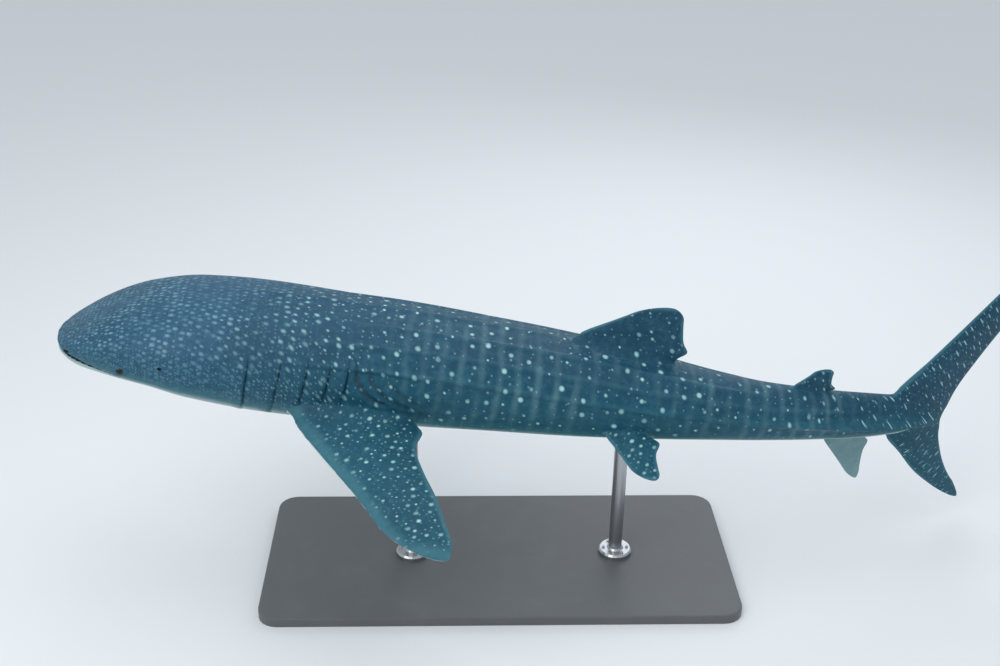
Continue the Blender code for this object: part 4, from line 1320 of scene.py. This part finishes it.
def eye_material():
    shader = Shader("glass_eye")
    gaze, turn, _ = shader.attribute("gaze")
    rays = shader.noise(9.0, 3.0, 0.7, shader.vector(turn * 4.0, gaze * 0.6))
    color = shader.mix(1.0 - gaze.step(*PUPIL_EDGE), shader.mix(rays, IRIS_DARK, IRIS_PALE), PUPIL_BLACK)
    color = shader.mix(gaze.step(*IRIS_EDGE), color, EYE_GREY)
    return shader.finish(Base_Color=color, Roughness=0.07, Specular_IOR_Level=0.34)


glass = eye_material()
for side, word in SIDES:
    ball = round_shape(f"eyeball_{word}", eye_centres[word], (eye_radius,) * 3, 0, 0, 64, 48)
    straight = np.array([v.co[:] for v in ball.data.vertices])
    away = (straight - eye_centres[word]) / eye_radius
    gaze = np.arccos(np.clip(away[:, 1] * side, -1, 1))
    turn = np.arctan2(away[:, 2], away[:, 0])
    keep_vectors(ball.data, "gaze", np.column_stack([gaze, np.cos(turn), turn * 0]))
    ball.data.vertices.foreach_set("co", in_world(straight).ravel())
    give_material(ball, glass)
    ball.data.shade_smooth()
    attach(ball, "root")
    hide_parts(f"eye_{word}")
print("eyeballs are", round(eye_radius * 2000), "mm across")

# %% [markdown]
# The stand is plain: a base of painted steel plate and two brushed rods. The solids already have
# the right shape, so they stay and only get a finish. Paint has a slight orange peel, and brushed
# steel has fine scratches round the rod.

# %% Stand
def base_paint():
    shader = Shader("stand_base_paint")
    peel = shader.noise(140.0, 2.0, 0.5)
    dust = shader.noise(5.0, 5.0, 0.6)
    color = shader.mix(dust.step(0.4, 0.8) * 0.3, (0.100, 0.106, 0.112), (0.150, 0.155, 0.160))
    normal = shader.bump(peel, 0.0004, 0.5)
    return shader.finish(Base_Color=color, Roughness=0.38 + dust * 0.16, Normal=normal)


def rod_steel():
    shader = Shader("brushed_rod_steel")
    stretched = shader.node("ShaderNodeMapping", None, {"Vector": shader.place(), "Scale": (6.0, 6.0, 900.0)})
    lines = shader.noise(1.0, 3.0, 0.7, shader.out(stretched))
    color = shader.mix(lines, (0.38, 0.39, 0.41), (0.52, 0.53, 0.55))
    return shader.finish(Base_Color=color, Metallic=1.0, Roughness=0.24 + lines * 0.16,
                         Normal=shader.bump(lines, 0.0002, 0.3))


steel = rod_steel()
for node, material in (("stand_base", base_paint()), ("stand_rod_front", steel), ("stand_rod_rear", steel)):
    obj = frame["nodes"][node]
    for slot in obj.material_slots:
        slot.material = material
print("stand stays as", [node for node in frame["nodes"] if node.startswith("stand_")])

# %% [markdown]
# Six cap screws hold each rod's collar down. They repeat, so Geometry Nodes place them: a circle
# gives the points, and one screw with a hexagon socket is set on each. The tree ends by making
# the copies real, because an export keeps no copies.

# %% Cap screws
BASE_THICKNESS, BASE_SEAM, COLLAR_HEIGHT = 0.06, 0.0003, 0.035
SCREWS_PER_COLLAR, SCREW_CIRCLE = 6, 0.074
SCREW_HEAD_RADIUS, SCREW_HEAD_HEIGHT, SCREW_HEAD_SIDES = 0.0095, 0.010, 20
SOCKET_RADIUS, SOCKET_DEPTH, SOCKET_SIDES = 0.0050, 0.005, 6
SCREW_HEIGHT = BASE_THICKNESS + BASE_SEAM + COLLAR_HEIGHT + SCREW_HEAD_HEIGHT / 2


def screw_tree(material):
    """A node tree that sets cap screws with a hexagon socket on a circle."""
    tree = bpy.data.node_groups.new("collar_screws", "GeometryNodeTree")
    for way in ("INPUT", "OUTPUT"):
        tree.interface.new_socket("Geometry", in_out=way, socket_type="NodeSocketGeometry")

    def add(kind, settings=None, **values):
        named = {key.replace("_", " "): value for key, value in values.items()}
        return add_node(tree, kind, settings, named).outputs[0]

    circle = add("GeometryNodeMeshCircle", Vertices=SCREWS_PER_COLLAR, Radius=SCREW_CIRCLE)
    raised = add("GeometryNodeTransform", Geometry=circle, Translation=(0, 0, SCREW_HEIGHT))
    head = add("GeometryNodeMeshCylinder", Vertices=SCREW_HEAD_SIDES, Radius=SCREW_HEAD_RADIUS,
               Depth=SCREW_HEAD_HEIGHT)
    socket = add("GeometryNodeMeshCylinder", Vertices=SOCKET_SIDES, Radius=SOCKET_RADIUS,
                 Depth=SOCKET_DEPTH * 2)
    socket = add("GeometryNodeTransform", Geometry=socket, Translation=(0, 0, SCREW_HEAD_HEIGHT / 2))
    screw = add("GeometryNodeMeshBoolean", {"operation": "DIFFERENCE", "solver": "EXACT"},
                Mesh_1=head, Mesh_2=socket)
    placed = add("GeometryNodeInstanceOnPoints", Points=raised, Instance=screw)
    real = add("GeometryNodeRealizeInstances", Geometry=placed)
    painted = add("GeometryNodeSetMaterial", Geometry=real, Material=material)
    tree.links.new(painted, tree.nodes.new("NodeGroupOutput").inputs[0])
    return tree


def collar_screws(name, centre, tree):
    """The screws of one collar as a plain mesh."""
    obj = in_scene(name, bpy.data.meshes.new(name))
    obj.modifiers.new("screws", "NODES").node_group = tree
    apply_modifiers(obj)
    obj.data.transform(Matrix.Translation((*centre, 0)))
    return obj


tree = screw_tree(steel)
for word in ("front", "rear"):
    low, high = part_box(f"stand_rod_{word}")
    screws = collar_screws(f"collar_screws_{word}", ((low[0] + high[0]) / 2, (low[1] + high[1]) / 2), tree)
    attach(screws, "root")
    print(screws.name, "has", len(screws.data.polygons), "faces")

# %% [markdown]
# The room is a plain pale floor under soft studio light: one large panel above and in front, a
# weaker one from behind for the outline, one overhead that lifts the back, and an even pale
# surround that fills the shadows.

# %% Floor and light
FLOOR_HALF, FLOOR_UNDERSIDE, FLOOR_TOP = 150.0, -0.02, -0.0005
FLOOR_GREY = (0.78, 0.79, 0.80, 1.0)
SURROUND, SURROUND_STRENGTH = (0.80, 0.86, 0.92, 1.0), 0.80

corners = [(x, y, z) for z in (FLOOR_UNDERSIDE, FLOOR_TOP) for y in (-FLOOR_HALF, FLOOR_HALF)
           for x in (-FLOOR_HALF, FLOOR_HALF)]
walls = [(0, 1, 3, 2), (4, 5, 7, 6), (0, 1, 5, 4), (2, 3, 7, 6), (0, 2, 6, 4), (1, 3, 7, 5)]
floor = tagged_object("studio_floor", corners, walls, 0)
give_material(floor, Shader("studio_floor").finish(Base_Color=FLOOR_GREY, Roughness=0.85))

world = bpy.data.worlds.new("studio")
bpy.context.scene.world = world
world.use_nodes = True
background = world.node_tree.nodes["Background"]
background.inputs["Color"].default_value = SURROUND
background.inputs["Strength"].default_value = SURROUND_STRENGTH

# Name, where it hangs, where it points, width, power in watts and colour
PANELS = (
    ("key_panel", (-4.5, -6.0, 7.5), (0.0, 0.0, 1.2), 6.0, 335.0, (1.0, 0.98, 0.96)),
    ("rear_panel", (3.0, 6.5, 6.0), (0.5, 0.0, 1.2), 5.0, 115.0, (0.92, 0.96, 1.0)),
    ("top_panel", (0.5, 0.0, 8.5), (0.3, 0.0, 1.0), 7.0, 180.0, (0.96, 0.98, 1.0)),
)
for name, spot, target, width, power, color in PANELS:
    lamp = in_scene(name, bpy.data.lights.new(name, "AREA"))
    lamp.data.shape = "SQUARE"
    lamp.data.size = width
    lamp.data.energy = power
    lamp.data.color = color
    lamp.location = spot
    lamp.rotation_euler = (Vector(target) - Vector(spot)).to_track_quat("-Z", "Y").to_euler()
print("light panels:", len(PANELS))

# %% [markdown]
# The camera looks at the shark as the photo does: from the left, ahead of its middle and well above,
# with the tip of the tail cut off by the right edge of the picture. The lens comes from the size
# of the shark in the frame.

# %% Camera
PICTURE_WIDTH, FOCAL_PIXELS, SENSOR_MM = 1000, 1305.0, 36.0
CAMERA_FROM_PIVOT = (-0.29, -6.81, 3.65)
LOOK_DOWN_DEGREES, LOOK_ASIDE_DEGREES, ROLL_DEGREES = 26.3, 2.29, 1.03

aside, down, roll = (math.radians(a) for a in (LOOK_ASIDE_DEGREES, LOOK_DOWN_DEGREES, ROLL_DEGREES))
ahead = Vector((math.sin(aside) * math.cos(down), math.cos(aside) * math.cos(down), -math.sin(down)))
level = Vector((math.cos(aside), -math.sin(aside), 0))
upward = level.cross(ahead)
rolled = level * math.cos(roll) + upward * math.sin(roll)
camera = in_scene("camera", bpy.data.cameras.new("camera"))
turn = Matrix((rolled, rolled.cross(ahead), -ahead)).transposed()
camera.matrix_world = Matrix.Translation(Vector(CAMERA_FROM_PIVOT) + Vector((0, 0, lift))) @ turn.to_4x4()
camera.data.sensor_width = SENSOR_MM
camera.data.lens = FOCAL_PIXELS / PICTURE_WIDTH * SENSOR_MM
bpy.context.scene.camera = camera
bpy.context.scene.view_settings.view_transform = "Standard"
print("camera at", [round(v, 2) for v in camera.matrix_world.translation], "lens", round(camera.data.lens, 1))
